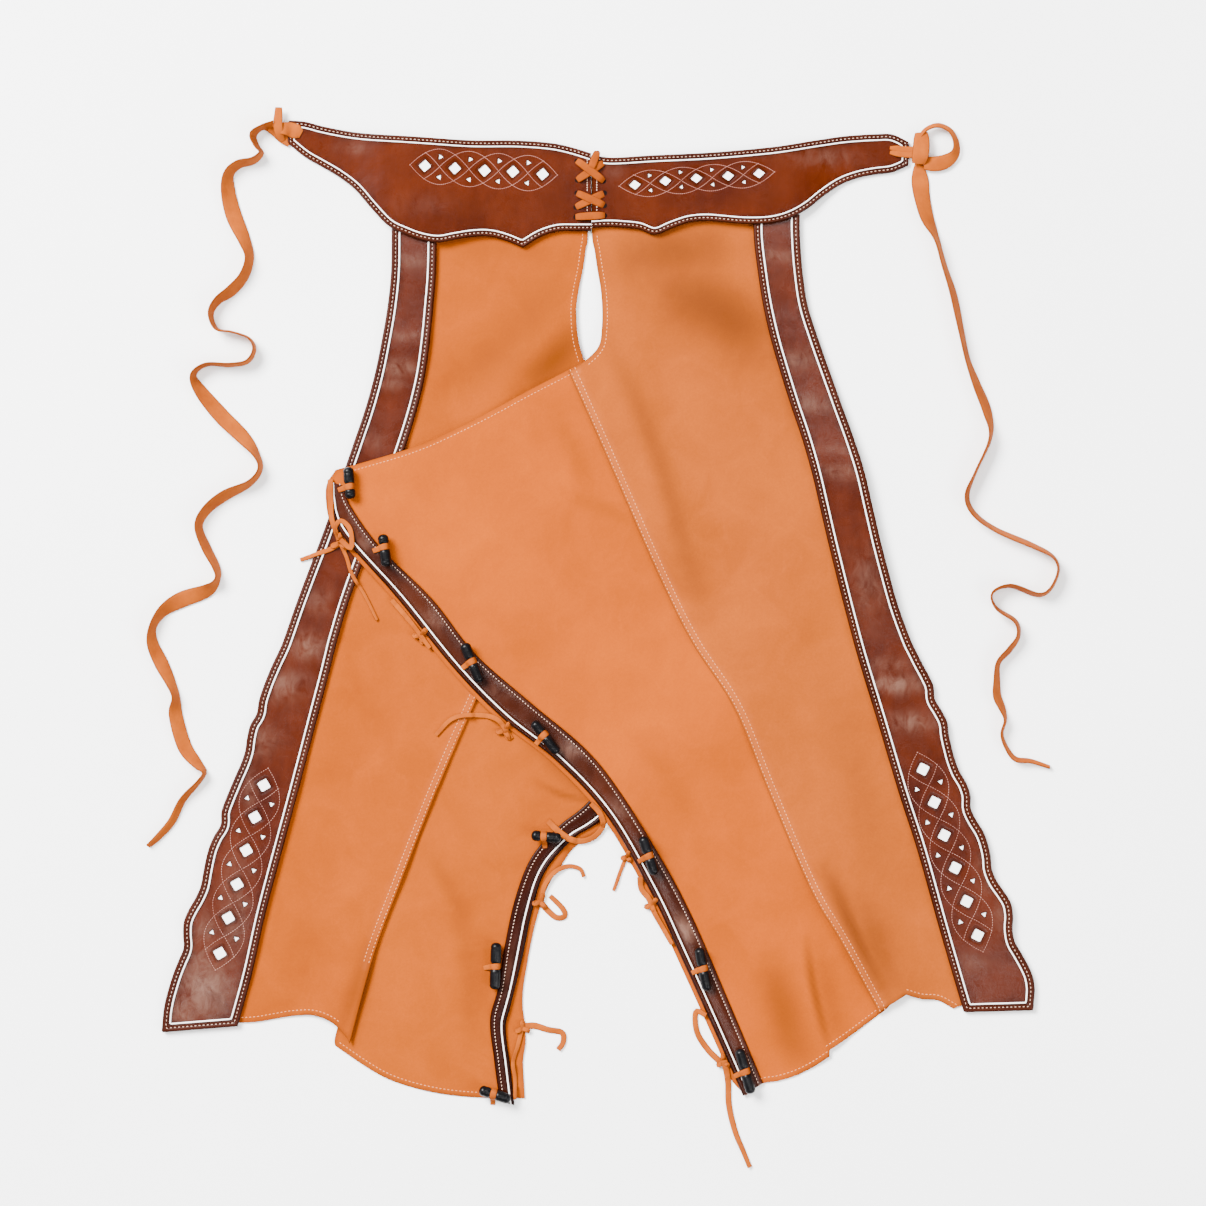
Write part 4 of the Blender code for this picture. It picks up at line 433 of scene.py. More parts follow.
def soft_leather(name, light, dark):
    """Napped tan leather: cloudy tone, rubbed patches, fine grain, dark cut edges, painted shade and painted
    light on the raised seam laps.
    """
    paint = Paint(name)
    cloud = paint.spread(paint.noise(6.0, 3.0, 0.5), 0.3, 0.7)
    patch = paint.spread(paint.noise(22.0, 5.0, 0.6, distortion=0.8), 0.38, 0.72)
    colour = paint.mix(cloud, dark, light)
    rubbed = tuple(1.22 * value + 0.003 for value in light[:3]) + (1.0,)
    colour = paint.mix(paint.maths("MULTIPLY", patch, 0.4), colour, rubbed)
    worn = paint.spread(paint.noise(70.0, 6.0, 0.7, (1, 0.5, 1), 1.2), 0.56, 0.74)
    colour = paint.mix(paint.maths("MULTIPLY", worn, 0.22), colour, rubbed)
    speck = paint.spread(paint.noise(420.0, 4.0, 0.7), 0.3, 0.75)
    grain = tuple(0.8 * value for value in dark[:3]) + (1.0,)
    colour = paint.mix(paint.maths("MULTIPLY", speck, 0.3), colour, grain)
    # Painted light: the pale attribute lightens the raised lap between the double seam rows.
    pale = tuple(1.15 * value + 0.02 for value in light[:3]) + (1.0,)
    colour = paint.mix(paint.attribute("pale"), colour, pale)
    # Painted shade: the shade attribute darkens creases, valleys and the leather below the belt and the flap's
    # edge.
    shade = tuple(value * scale for value, scale in zip(dark[:3], (0.42, 0.46, 1.0))) + (1.0,)
    colour = paint.mix(paint.attribute("shade"), colour, shade)
    edge = tuple(value * 0.3 for value in dark[:3]) + (1.0,)
    colour = paint.mix(paint.attribute("edge"), colour, edge)
    normal = paint.bump(paint.noise(11.0, 2.0, 0.5), 0.45, 0.008)
    normal = paint.bump(paint.noise(60.0, 5.0, 0.6, distortion=0.5), 0.35, 0.0014, normal)
    normal = paint.bump(paint.noise(900.0, 3.0, 0.6), 0.35, 0.0003, normal)
    rough = paint.spread(patch, -4.0, 1.6)
    return paint.finish(colour, rough, normal, Sheen_Weight=0.02, Sheen_Roughness=0.5,
                        Specular_IOR_Level=0.03, Sheen_Tint=(1.0, 0.4, 0.15, 1.0))


def gloss_leather(name, light, dark, rough_low, rough_high, gloss=0.24):
    """Waxed brown leather: mottled dye, hazy wax with painted highlights, pores, darker edges with some painted
    shade.
    """
    paint = Paint(name)
    cloud = paint.spread(paint.noise(14.0, 4.0, 0.55, distortion=0.4), 0.33, 0.68)
    colour = paint.mix(cloud, dark, light)
    streak = paint.spread(paint.noise(60.0, 5.0, 0.65, (1, 0.35, 1)), 0.45, 0.8)
    bright = tuple(1.5 * value + 0.002 for value in light[:3]) + (1.0,)
    colour = paint.mix(paint.maths("MULTIPLY", streak, 0.4), colour, bright)
    # Painted highlights and hazy wax: where the pale attribute is high the colour turns pale brown.
    cloudy = paint.spread(paint.noise(75.0, 5.0, 0.6, (1.3, 0.8, 1), 0.9), 0.3, 0.66)
    bloom = paint.maths("MULTIPLY", paint.attribute("pale"), cloudy)
    colour = paint.mix(bloom, colour, (0.098, 0.046, 0.032, 1.0))
    edge = tuple(value * 0.22 for value in dark[:3]) + (1.0,)
    colour = paint.mix(paint.attribute("edge"), colour, edge)
    haze = paint.noise(38.0, 5.0, 0.6, distortion=0.8)
    rough = paint.nodes.new("ShaderNodeMapRange")
    paint.links.new(haze, rough.inputs["Value"])
    rough.inputs["From Min"].default_value = 0.3
    rough.inputs["From Max"].default_value = 0.7
    rough.inputs["To Min"].default_value = rough_low
    rough.inputs["To Max"].default_value = rough_high
    normal = paint.bump(paint.noise(26.0, 3.0, 0.5), 0.3, 0.0026)
    normal = paint.bump(paint.cells(700.0), 0.18, 0.00025, normal)
    return paint.finish(colour, rough.outputs["Result"], normal, Specular_IOR_Level=gloss)


def cord_leather(name, light, dark):
    """White or tan cord and strap leather with a fine grain."""
    paint = Paint(name)
    colour = paint.mix(paint.spread(paint.noise(45.0, 4.0, 0.6), 0.3, 0.7), dark, light)
    grain = paint.spread(paint.noise(500.0, 4.0, 0.7), 0.35, 0.7)
    colour = paint.mix(paint.maths("MULTIPLY", grain, 0.25), colour, dark)
    edge = tuple(value * 0.55 for value in dark[:3]) + (1.0,)
    colour = paint.mix(paint.attribute("edge"), colour, edge)
    normal = paint.bump(paint.noise(700.0, 3.0, 0.6), 0.35, 0.0003)
    return paint.finish(colour, 0.78, normal, Specular_IOR_Level=0.05)


def horn_black():
    """Polished black horn with faint turning marks and a worn bloom."""
    paint = Paint("black_horn")
    bloom = paint.spread(paint.noise(160.0, 4.0, 0.6), 0.4, 0.8)
    colour = paint.mix(bloom, (0.0012, 0.0011, 0.0014, 1), (0.004, 0.004, 0.005, 1))
    normal = paint.bump(paint.noise(300.0, 3.0, 0.6), 0.2, 0.0004)
    return paint.finish(colour, 0.32, normal, Specular_IOR_Level=0.1)


TAN_LEFT = soft_leather("tan_left_front", (0.255, 0.0475, 0.0006, 1), (0.205, 0.0360, 0.0004, 1))
TAN_LEFT_BACK = soft_leather("tan_left_back", (0.262, 0.0500, 0.0008, 1), (0.215, 0.0385, 0.0006, 1))
TAN_FLAP = soft_leather("tan_right_back", (0.285, 0.0510, 0.0004, 1), (0.235, 0.0410, 0.0003, 1))
TAN_RIGHT = soft_leather("tan_right_front", (0.262, 0.0540, 0.0034, 1), (0.190, 0.0370, 0.0024, 1))
BROWN_BAND = gloss_leather("brown_band", (0.046, 0.0072, 0.0018, 1), (0.023, 0.0027, 0.0007, 1), 0.2, 0.34, 0.1)
BROWN_BELT = gloss_leather("brown_belt", (0.046, 0.0060, 0.0003, 1), (0.027, 0.0029, 0.0002, 1), 0.24, 0.36,
                           0.035)
BROWN_STRIP = gloss_leather("brown_strip", (0.031, 0.0056, 0.0014, 1), (0.014, 0.0020, 0.0005, 1), 0.2, 0.34,
                            0.1)
DARK_STRIP = gloss_leather("dark_strip", (0.018, 0.0025, 0.0005, 1), (0.009, 0.0012, 0.0003, 1), 0.24, 0.36,
                           0.04)
BROWN_BINDING = gloss_leather("brown_binding", (0.031, 0.0050, 0.0010, 1), (0.018, 0.0024, 0.0005, 1),
                              0.3, 0.44, 0.06)
WHITE_CORD = cord_leather("white_cord", (0.95, 0.90, 0.87, 1), (0.80, 0.72, 0.68, 1))
WHITE_BACKING = cord_leather("white_backing", (0.97, 0.96, 0.95, 1), (0.90, 0.88, 0.87, 1))
SUEDE = cord_leather("tan_suede", (0.29, 0.062, 0.0040, 1), (0.20, 0.038, 0.0020, 1))
LACE_SUEDE = cord_leather("lace_suede", (0.22, 0.042, 0.0015, 1), (0.14, 0.024, 0.0008, 1))
THREAD_WHITE = cord_leather("thread_white", (0.62, 0.42, 0.33, 1), (0.46, 0.27, 0.19, 1))
THREAD_TAN = cord_leather("thread_tan", (0.64, 0.26, 0.12, 1), (0.50, 0.17, 0.06, 1))
THREAD_LENS = cord_leather("thread_lens", (0.36, 0.19, 0.155, 1), (0.21, 0.09, 0.07, 1))
THREAD_FINE = cord_leather("thread_fine", (0.33, 0.15, 0.12, 1), (0.21, 0.08, 0.06, 1))
# Black for the painted shadow in the lace holes.
HOLE_SHADOW = cord_leather("hole_shadow", (0.004, 0.0015, 0.001, 1), (0.002, 0.001, 0.001, 1))
BLACK_HORN = horn_black()


# Geometry helpers

def to_world(points):
    """World metres of layout points with heights."""
    points = np.asarray(points, float)
    return np.column_stack(((points[:, 0] - CENTRE_ACROSS) * MM, (CENTRE_DOWN - points[:, 1]) * MM,
                            points[:, 2] * MM))


def make_piece(name, points, faces, material, attributes=None, smooth_angle=50):
    """A mesh piece from layout points that rides on the garment's one body."""
    mesh = bpy.data.meshes.new(name)
    mesh.from_pydata(to_world(points).tolist(), [], faces)
    mesh.materials.append(material)
    shape = bmesh.new()
    shape.from_mesh(mesh)
    bmesh.ops.recalc_face_normals(shape, faces=shape.faces)
    shape.to_mesh(mesh)
    shape.free()
    for label in ("edge", "shade", "pale"):
        values = (attributes or {}).get(label)
        layer = mesh.attributes.new(label, "FLOAT", "POINT")
        if values is not None:
            layer.data.foreach_set("value", np.asarray(values, np.float32))
    mesh.polygons.foreach_set("use_smooth", [True] * len(mesh.polygons))
    mesh.set_sharp_from_angle(angle=math.radians(smooth_angle))
    piece = bpy.data.objects.new(name, mesh)
    bpy.context.scene.collection.objects.link(piece)
    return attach(piece, "root")


def smooth_line(rows, step):
    """Points about a step apart on a Catmull-Rom curve through rows of any width."""
    rows = np.asarray(rows, float)
    padded = np.vstack((2 * rows[0] - rows[1], rows, 2 * rows[-1] - rows[-2]))
    share = np.linspace(0, 1, 16, endpoint=False)[:, None]
    pieces = []
    for before, start, end, after in zip(padded, padded[1:], padded[2:], padded[3:]):
        bend = (2 * before - 5 * start + 4 * end - after) * share ** 2
        twist = (3 * start - before - 3 * end + after) * share ** 3
        pieces.append(0.5 * (2 * start + (end - before) * share + bend + twist))
    return even_line(np.vstack(pieces + [rows[-1:]]), step)


def even_line(line, step):
    """The same line with points about a step apart, both ends kept."""
    run = np.concatenate(([0], np.cumsum(np.linalg.norm(np.diff(line[:, :2], axis=0), axis=1))))
    count = max(2, round(run[-1] / step) + 1)
    at = np.linspace(0, run[-1], count)
    return np.column_stack([np.interp(at, run, line[:, k]) for k in range(line.shape[1])])


def signed_area(ring):
    """Area of a ring in layout millimetres, positive when its inside is to the left."""
    nxt = np.roll(ring, -1, axis=0)
    return 0.5 * float(np.sum(ring[:, 0] * nxt[:, 1] - nxt[:, 0] * ring[:, 1]))


def top_loops(node):
    """The closed boundary loops of a CAD node's upper faces, longest first, as layout points."""
    shape = bmesh.new()
    shape.from_mesh(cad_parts[node].data)
    bmesh.ops.remove_doubles(shape, verts=shape.verts, dist=1e-6)
    uses = {}
    for face in shape.faces:
        if face.normal.z > 0.15:
            for loop in face.loops:
                start, end = loop.vert, loop.link_loop_next.vert
                uses[(start.index, end.index)] = (start.co.copy(), end.co.copy())
    shape.free()
    following = {start: (end, ends[0]) for (start, end), ends in uses.items() if (end, start) not in uses}
    loops = []
    while following:
        first = next(iter(following))
        ring, at = [], first
        while at in following:
            at, where = following.pop(at)
            ring.append((CENTRE_ACROSS + where.x / MM, CENTRE_DOWN - where.y / MM))
        loops.append(np.array(ring))
    return sorted(loops, key=lambda ring: -abs(signed_area(ring)))


def stretches(ring, corner):
    """Split a ring at its corners into lines; a ring without corners is one closed line."""
    before, after = ring - np.roll(ring, 1, axis=0), np.roll(ring, -1, axis=0) - ring
    turn = np.degrees(np.arctan2(before[:, 0] * after[:, 1] - before[:, 1] * after[:, 0],
                                 np.sum(before * after, axis=1)))
    corners = np.flatnonzero(np.abs(turn) > corner)
    if len(corners) == 0:
        return [np.vstack((ring, ring[:1]))]
    lines = []
    for first, last in zip(corners, np.roll(corners, -1)):
        last = last if last > first else last + len(ring)
        lines.append(ring[np.arange(first, last + 1) % len(ring)])
    return lines


def smooth_ring(ring, corner=42.0, step=3.0):
    """A ring made smooth between its corners."""
    ring = ring[np.linalg.norm(ring - np.roll(ring, 1, axis=0), axis=1) > 0.4]
    made = [smooth_line(line, step)[:-1] if len(line) > 2 else even_line(line, step)[:-1]
            for line in stretches(ring, corner)]
    whole = np.vstack(made)
    return whole if signed_area(whole) > 0 else whole[::-1]


def inward(line, closed):
    """Unit normals to the left of a line, which is inside a positive ring."""
    if closed:
        tangent = np.roll(line, -1, axis=0) - np.roll(line, 1, axis=0)
    else:
        tangent = np.gradient(line, axis=0)
    normal = np.column_stack((-tangent[:, 1], tangent[:, 0]))
    return normal / np.maximum(np.linalg.norm(normal, axis=1), 1e-9)[:, None]


def inset(line, distance, closed, step):
    """The line at a distance inside, without the points that a tight bend would fold over."""
    dense = even_line(np.vstack((line, line[:1])), 1.2)[:-1] if closed else even_line(line, 1.2)
    normal = inward(dense, closed)
    spots, parents = [], []
    count = len(dense)
    for k in range(count):
        spots.append(dense[k] + normal[k] * distance)
        if k + 1 < count or closed:
            other = normal[(k + 1) % count]
            angle = math.degrees(math.acos(max(-1.0, min(1.0, float(normal[k] @ other)))))
            for share in np.linspace(0, 1, int(angle // 8) + 2)[1:-1]:
                between = normal[k] * (1 - share) + other * share
                spots.append(dense[k] + between / np.linalg.norm(between) * distance)
    spots = np.array(spots)
    away = np.array([np.min(np.sum((dense - spot) ** 2, axis=1)) for spot in spots]) ** 0.5
    kept = spots[away > distance * 0.985 - 0.06]
    line = np.vstack((kept, kept[:1])) if closed else kept
    made = even_line(line, step)
    return made[:-1] if closed else made


def inside(ring, points):
    """Whether each point is inside a ring."""
    x, y = points[:, 0], points[:, 1]
    found = np.zeros(len(points), bool)
    for (ax, ay), (bx, by) in zip(ring, np.roll(ring, -1, axis=0)):
        if ay == by:
            continue
        crosses = (ay > y) != (by > y)
        found ^= crosses & (x < (bx - ax) * (y - ay) / (by - ay) + ax)
    return found


def nearest(points, others):
    """Distance of each point to the nearest of the others."""
    away = np.empty(len(points))
    for start in range(0, len(points), 400):
        block = points[start:start + 400]
        away[start:start + 400] = np.min(
            np.sum((block[:, None, :] - others[None, :, :]) ** 2, axis=2), axis=1) ** 0.5
    return away


def triangulate(outline, lines, holes, spacing):
    """Triangles over an outline, keeping the given lines as edges and leaving the holes open."""
    points, edges = [], []

    def add(line, closed):
        first = len(points)
        points.extend(line.tolist())
        edges.extend((first + k, first + k + 1) for k in range(len(line) - 1))
        if closed:
            edges.append((first + len(line) - 1, first))

    add(outline, True)
    ring = list(range(len(outline)))
    for line, closed in lines:
        add(line, closed)
    for hole in holes:
        add(hole, True)
    low, high = outline.min(axis=0), outline.max(axis=0)
    if spacing:
        rows = np.arange(low[1], high[1], spacing * 0.87)
        grid = np.array([(across + (k % 2) * spacing / 2, down) for k, down in enumerate(rows)
                         for across in np.arange(low[0], high[0], spacing)])
        grid = grid[inside(outline, grid)]
        for hole in holes:
            grid = grid[~inside(hole, grid)]
        grid = grid[nearest(grid, np.array(points)) > 0.62 * spacing]
        points.extend(grid.tolist())
    made = geometry.delaunay_2d_cdt([Vector(point) for point in points], edges, [ring], 1, 1e-4)
    flat = np.array([tuple(point) for point in made[0]])
    faces = np.array([tuple(face) for face in made[2]])
    for hole in holes:
        faces = faces[~inside(hole, flat[faces].mean(axis=1))]
    used = np.unique(faces)
    renumber = np.zeros(len(flat), int)
    renumber[used] = np.arange(len(used))
    return flat[used], renumber[faces]


def shell(name, flat, faces, top, bottom, material, attributes=None, smooth_angle=50):
    """A closed thin shell between two heights over the same triangles."""
    count = len(flat)
    points = np.vstack((np.column_stack((flat, top)), np.column_stack((flat, bottom))))
    sides = {(int(face[k]), int(face[(k + 1) % 3])) for face in faces for k in range(3)}
    walls = []
    for start, end in sides:
        if (end, start) not in sides:
            walls.append((end, start, start + count, end + count))
    every = [tuple(face) for face in faces.tolist()]
    every += [tuple(index + count for index in reversed(face)) for face in faces.tolist()] + walls
    doubled = {key: np.concatenate((value, value)) for key, value in (attributes or {}).items()}
    return make_piece(name, points, every, material, doubled, smooth_angle)


def sweep(name, line, heights, profile, material, closed_ends=True):
    """A solid along an open line from a closed profile of side, height pairs."""
    normal = inward(line, False)
    count = len(profile)
    points = []
    for spot, side, height in zip(line, normal, heights):
        points += [(*(spot + side * across), height + up) for across, up in profile]
    faces = [(k * count + i, k * count + (i + 1) % count, (k + 1) * count + (i + 1) % count,
              (k + 1) * count + i) for k in range(len(line) - 1) for i in range(count)]
    if closed_ends:
        faces.append(tuple(range(count)))
        faces.append(tuple((len(line) - 1) * count + i for i in reversed(range(count))))
    return make_piece(name, points, faces, material)


def round_profile(radius, sides=8):
    """A round profile."""
    return [(radius * math.cos(turn), radius * math.sin(turn))
            for turn in np.linspace(0, math.tau, sides, endpoint=False)]


class Relief:
    """Heights of what has been laid so far, on a fine field over the layout."""

    def __init__(self):
        self.across = np.arange(FIELD_LEFT, FIELD_RIGHT + CELL, CELL)
        self.down = np.arange(FIELD_TOP, FIELD_BOTTOM + CELL, CELL)
        self.height = np.zeros((len(self.down), len(self.across)))
        self.grid = np.stack(np.meshgrid(self.across, self.down), axis=2)

    def mask(self, ring):
        """Cells inside a ring."""
        found = np.zeros(self.height.shape, bool)
        nxt = np.roll(ring, -1, axis=0)
        for i, down in enumerate(self.down):
            crosses = (ring[:, 1] > down) != (nxt[:, 1] > down)
            start, end = ring[crosses], nxt[crosses]
            hits = np.sort(start[:, 0] + (down - start[:, 1]) * (end[:, 0] - start[:, 0])
                           / (end[:, 1] - start[:, 1]))
            for low, high in zip(hits[::2], hits[1::2]):
                found[i, (self.across >= low) & (self.across <= high)] = True
        return found

    def grow(self, mask, cells):
        """A mask made wider by whole cells."""
        for _ in range(cells):
            wide = mask.copy()
            wide[1:] |= mask[:-1]
            wide[:-1] |= mask[1:]
            wide[:, 1:] |= mask[:, :-1]
            wide[:, :-1] |= mask[:, 1:]
            mask = wide
        return mask

    def blur(self, field, mask, reach):
        """A soft mean over the cells of a mask."""
        cells = max(1, int(round(2 * reach / CELL)))
        weights = np.exp(-0.5 * (np.arange(-cells, cells + 1) * CELL / reach) ** 2)
        share, total = mask.astype(float), np.where(mask, field, 0.0)
        for axis in (0, 1):
            parts = []
            for array in (share, total):
                padded = np.pad(array, [(cells, cells) if a == axis else (0, 0) for a in (0, 1)])
                span = array.shape[axis]
                parts.append(sum(weight * np.take(padded, range(k, k + span), axis)
                                 for k, weight in enumerate(weights)))
            share, total = parts
        return np.where(share > 1e-6, total / np.maximum(share, 1e-6), 0.0)

    def lay(self, node, ring, thick, soften, folds=None):
        """Lay a sheet: its CAD heights made smooth, its folds added, clear of all below."""
        footprint = self.mask(ring)
        wide = self.grow(footprint, 3)
        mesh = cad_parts[node].data
        tree = BVHTree.FromPolygons([vert.co for vert in mesh.vertices],
                                    [tuple(face.vertices) for face in mesh.polygons])
        raw = np.zeros(self.height.shape)
        known = np.zeros(self.height.shape, bool)
        for i, j in zip(*np.nonzero(wide)):
            x = (self.across[j] - CENTRE_ACROSS) * MM
            y = (CENTRE_DOWN - self.down[i]) * MM
            hit = tree.ray_cast(Vector((x, y, 0.2)), Vector((0, 0, -1)))[0]
            if hit is not None:
                raw[i, j] = hit.z / MM
                known[i, j] = True
        field = self.blur(raw, known, soften)
        if folds is not None:
            field = field + folds(self.grid)
        least = np.where(self.height > 0.01, self.height + SKIN, 0.0) + thick
        least = self.blur(least, wide, 1.4) + 0.1 * (self.blur(least, wide, 3.0) > thick + 0.01)
        for reach in (9.0, 5.0, 3.0):
            field = np.maximum(field, least)
            field = np.where(wide, self.blur(field, wide, reach), field)
        field = np.maximum(field, least)
        field = np.where(self.grow(footprint, 2), field, self.blur(field, footprint, 6.0))
        self.height = np.where(footprint, np.maximum(self.height, field), self.height)
        return field

    def read(self, field, points):
        """Field values at layout points."""
        x = np.clip((points[:, 0] - FIELD_LEFT) / CELL, 0, field.shape[1] - 1.001)
        y = np.clip((points[:, 1] - FIELD_TOP) / CELL, 0, field.shape[0] - 1.001)
        i, j = y.astype(int), x.astype(int)
        fy, fx = y - i, x - j
        upper = field[i, j] * (1 - fx) + field[i, j + 1] * fx
        lower = field[i + 1, j] * (1 - fx) + field[i + 1, j + 1] * fx
        return upper * (1 - fy) + lower * fy


RELIEF = Relief()
FIELDS = {}
RINGS = {}


def route_distance(points, route):
    """Signed distance from a route, positive on its right, and the share along it."""
    line = smooth_line(route, 6.0)
    flat = points.reshape(-1, 2)
    best = np.full(len(flat), 1e9)
    signed, share = np.zeros(len(flat)), np.zeros(len(flat))
    for k, (start, end) in enumerate(zip(line[:-1], line[1:])):
        step = end - start
        along = np.clip((flat - start) @ step / (step @ step), 0, 1)
        gap = flat - (start + along[:, None] * step)
        away = np.linalg.norm(gap, axis=1)
        closer = away < best
        best[closer] = away[closer]
        side = step[0] * gap[:, 1] - step[1] * gap[:, 0]
        signed[closer] = (away * np.where(side >= 0, 1, -1))[closer]
        share[closer] = ((k + along) / (len(line) - 1))[closer]
    return signed.reshape(points.shape[:-1]), share.reshape(points.shape[:-1])


def crease_heights(name):
    """The soft creases of one piece, as a function over points."""
    rows = [row for row in CREASES if row[0] == name]

    def heights(points):
        raised = np.zeros(points.shape[:-1])
        for _, route, left, right, height in rows:
            away, share = route_distance(points, route)
            width = np.where(away < 0, left, right)
            swell = np.sin(np.pi * np.clip(share, 0.02, 0.98)) ** 0.6
            raised += height * swell * np.exp(-(away / width) ** 2 * 1.6)
        return raised

    return heights


def painted_shade_values(name, points):
    """How strong the painted shade is at each point, from 0 to 1."""
    dark = np.zeros(len(points))
    for piece, route, width, strength in PAINTED_SHADES:
        if piece == name:
            away, share = route_distance(points, route)
            fade = np.sin(np.pi * np.clip(share, 0.03, 0.97)) ** 0.5
            dark = np.maximum(dark, strength * fade * np.exp(-(away / width) ** 2))
    return 0.8 * dark


def edge_values(points, rings, reach):
    """Full at the cut edges, nothing at a reach from them."""
    every = np.vstack([even_line(np.vstack((ring, ring[:1])), 1.0) for ring in rings])
    return np.clip(1 - nearest(points, every) / reach, 0, 1)


# Leather pieces

def leg_panel(name, material):
    """One soft leather leg piece, a thin shell with its creases and a rounded cut edge."""
    ring = smooth_ring(top_loops(name)[0])
    RINGS[name] = ring
    FIELDS[name] = RELIEF.lay(name, ring, PANEL_THICK, 10.0, crease_heights(name))
    lines = [(inset(ring, away, True, 3.2), True) for away in (0.8, 4.6, 8.8)]
    flat, faces = triangulate(ring, lines, [], 4.6)
    top = RELIEF.read(FIELDS[name], flat)
    inward_reach = nearest(flat, even_line(np.vstack((ring, ring[:1])), 1.0))
    border = inward_reach < 0.3
    bottom = top - PANEL_THICK
    shown = top - 0.5 * border
    # Painted light: the raised lap between the double seam rows is made paler.
    lapped = np.interp(inward_reach, (1.0, 2.4, 7.6, 9.6), (0, 1, 1, 0))
    values = {"edge": np.clip(1 - inward_reach / 1.3, 0, 1) * 0.8, "shade": painted_shade_values(name, flat),
              "pale": 0.3 * lapped * seam_side(name, flat)}
    piece = shell("leather_" + name, flat, faces, shown, bottom, material, values)
    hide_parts(name)
    return piece


def seam_side(name, points):
    """Full where a point lies along one of the piece's double seams."""
    found = np.zeros(len(points))
    for piece, start, end, away, _ in EDGE_ROWS:
        if piece == name and away > 7:
            ring = RINGS[name]
            path = ring_part(ring, start, end)
            found = np.maximum(found, nearest(points, path) < 12)
    return found


def ring_part(ring, start, end):
    """The shorter part of a ring between two places."""
    first = int(np.argmin(np.linalg.norm(ring - start, axis=1)))
    last = int(np.argmin(np.linalg.norm(ring - end, axis=1)))
    count = len(ring)
    span, back = (last - first) % count, (first - last) % count
    if span <= back:
        return ring[(first + np.arange(span + 1)) % count]
    return ring[(last + np.arange(back + 1)) % count]


def rounded(ring, radius):
    """A small polygon with rounded corners."""
    made = []
    for before, corner, after in zip(np.roll(ring, 1, axis=0), ring, np.roll(ring, -1, axis=0)):
        first = corner + (before - corner) / np.linalg.norm(before - corner) * radius
        last = corner + (after - corner) / np.linalg.norm(after - corner) * radius
        for share in (0.0, 0.33, 0.67, 1.0):
            made.append(first * (1 - share) ** 2 + corner * 2 * share * (1 - share) + last * share ** 2)
    return np.array(made)


RIGHT_HOLES = np.array((1.06, 0.86))  # the right belt half's diamonds are wider than they are tall


def hole_rings(node):
    """The cut-outs of a CAD base, in order, with rounded corners."""
    found = []
    for ring in top_loops(node)[1:]:
        before, after = ring - np.roll(ring, 1, axis=0), np.roll(ring, -1, axis=0) - ring
        turn = np.abs(np.degrees(np.arctan2(before[:, 0] * after[:, 1] - before[:, 1] * after[:, 0],
                                            np.sum(before * after, axis=1))))
        corners = ring[turn > 30]
        if len(corners) in (3, 4):
            if node == "belt_right":
                middle = corners.mean(axis=0)
                corners = middle + (corners - middle) * (RIGHT_HOLES if len(corners) == 4 else 0.8)
            side = np.linalg.norm(corners[0] - corners[1])
            found.append(rounded(corners, (0.1 if node.startswith("belt") else 0.15) * side))
    return found


def u_path(ring, start, end, through):
    """The part of a ring between two places that passes a third."""
    first = int(np.argmin(np.linalg.norm(ring - start, axis=1)))
    last = int(np.argmin(np.linalg.norm(ring - end, axis=1)))
    middle = int(np.argmin(np.linalg.norm(ring - through, axis=1)))
    count = len(ring)
    span = (last - first) % count
    if (middle - first) % count <= span:
        return ring[(first + np.arange(span + 1)) % count]
    return ring[(last + np.arange((first - last) % count + 1)) % count]


def stiff_base(name, material, soften, folds=None):
    """The stiff leather of a band or belt half with its cut-outs."""
    ring = smooth_ring(top_loops(name)[0])
    RINGS[name] = ring
    FIELDS[name] = RELIEF.lay(name, ring, BASE_THICK, soften, folds)
    holes = hole_rings(name)
    diamonds = [hole for hole in holes if len(hole) == 16]
    lines = [(hole.mean(axis=0) + (hole - hole.mean(axis=0)) * size, True)
             for hole in diamonds for size in (1.14, 1.34, 1.48, 1.62, 1.78)]
    lines += [(hole.mean(axis=0) + (hole - hole.mean(axis=0)) * size, True)
              for hole in holes if len(hole) != 16 for size in (1.25, 1.6)]
    flat, faces = triangulate(inset(ring, 0.5, True, 3.0), lines, holes, 5.0)
    level = RELIEF.read(FIELDS[name], flat)
    top = level.copy()
    dark = np.zeros(len(flat))
    if holes:
        # Darker rim round each cut-out: the dark bevelled cut edge with painted shade of the bevel. The pressed
        # line round the diamonds is darker too.
        away = nearest(flat, np.vstack([even_line(np.vstack((hole, hole[:1])), 0.7) for hole in holes]))
        top -= 0.35 * (away < 0.25)
        dark = 0.92 * np.clip(1 - away / 1.5, 0, 1)
        away = nearest(flat, np.vstack([even_line(np.vstack((hole, hole[:1])), 0.7) for hole in diamonds]))
        pressed = np.exp(-((away - 2.4) / 0.7) ** 2)
        top -= 0.4 * pressed
        dark = np.maximum(dark, 0.5 * pressed)
    piping = TRIMS[name.split("_")[0]][2]
    inward_reach = nearest(flat, even_line(np.vstack((ring, ring[:1])), 1.5))
    # Painted shade: the base darkens along the inner side of the raised piping.
    piping_shade = np.clip(1 - np.abs(inward_reach - piping - 1.0) / 2.2, 0, 1)
    values = {"edge": np.maximum(dark, 0.5 * piping_shade), "pale": bloom_and_highlight_values(name, flat)}
    piece = shell("base_" + name, flat, faces, top, level - BASE_THICK, material, values)
    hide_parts(name)
    white_inlays(name, holes)
    return piece


def bloom_and_highlight_values(name, points):
    """How strong the hazy wax and painted highlights are at each point, from 0 to 1."""
    haze = np.zeros(len(points))
    for piece, across, down, reach_across, reach_down, strength in BLOOMS_AND_HIGHLIGHTS:
        if piece == name:
            away = ((points[:, 0] - across) / reach_across) ** 2 + ((points[:, 1] - down) / reach_down) ** 2
            haze = np.maximum(haze, strength * np.exp(-away))
    return haze


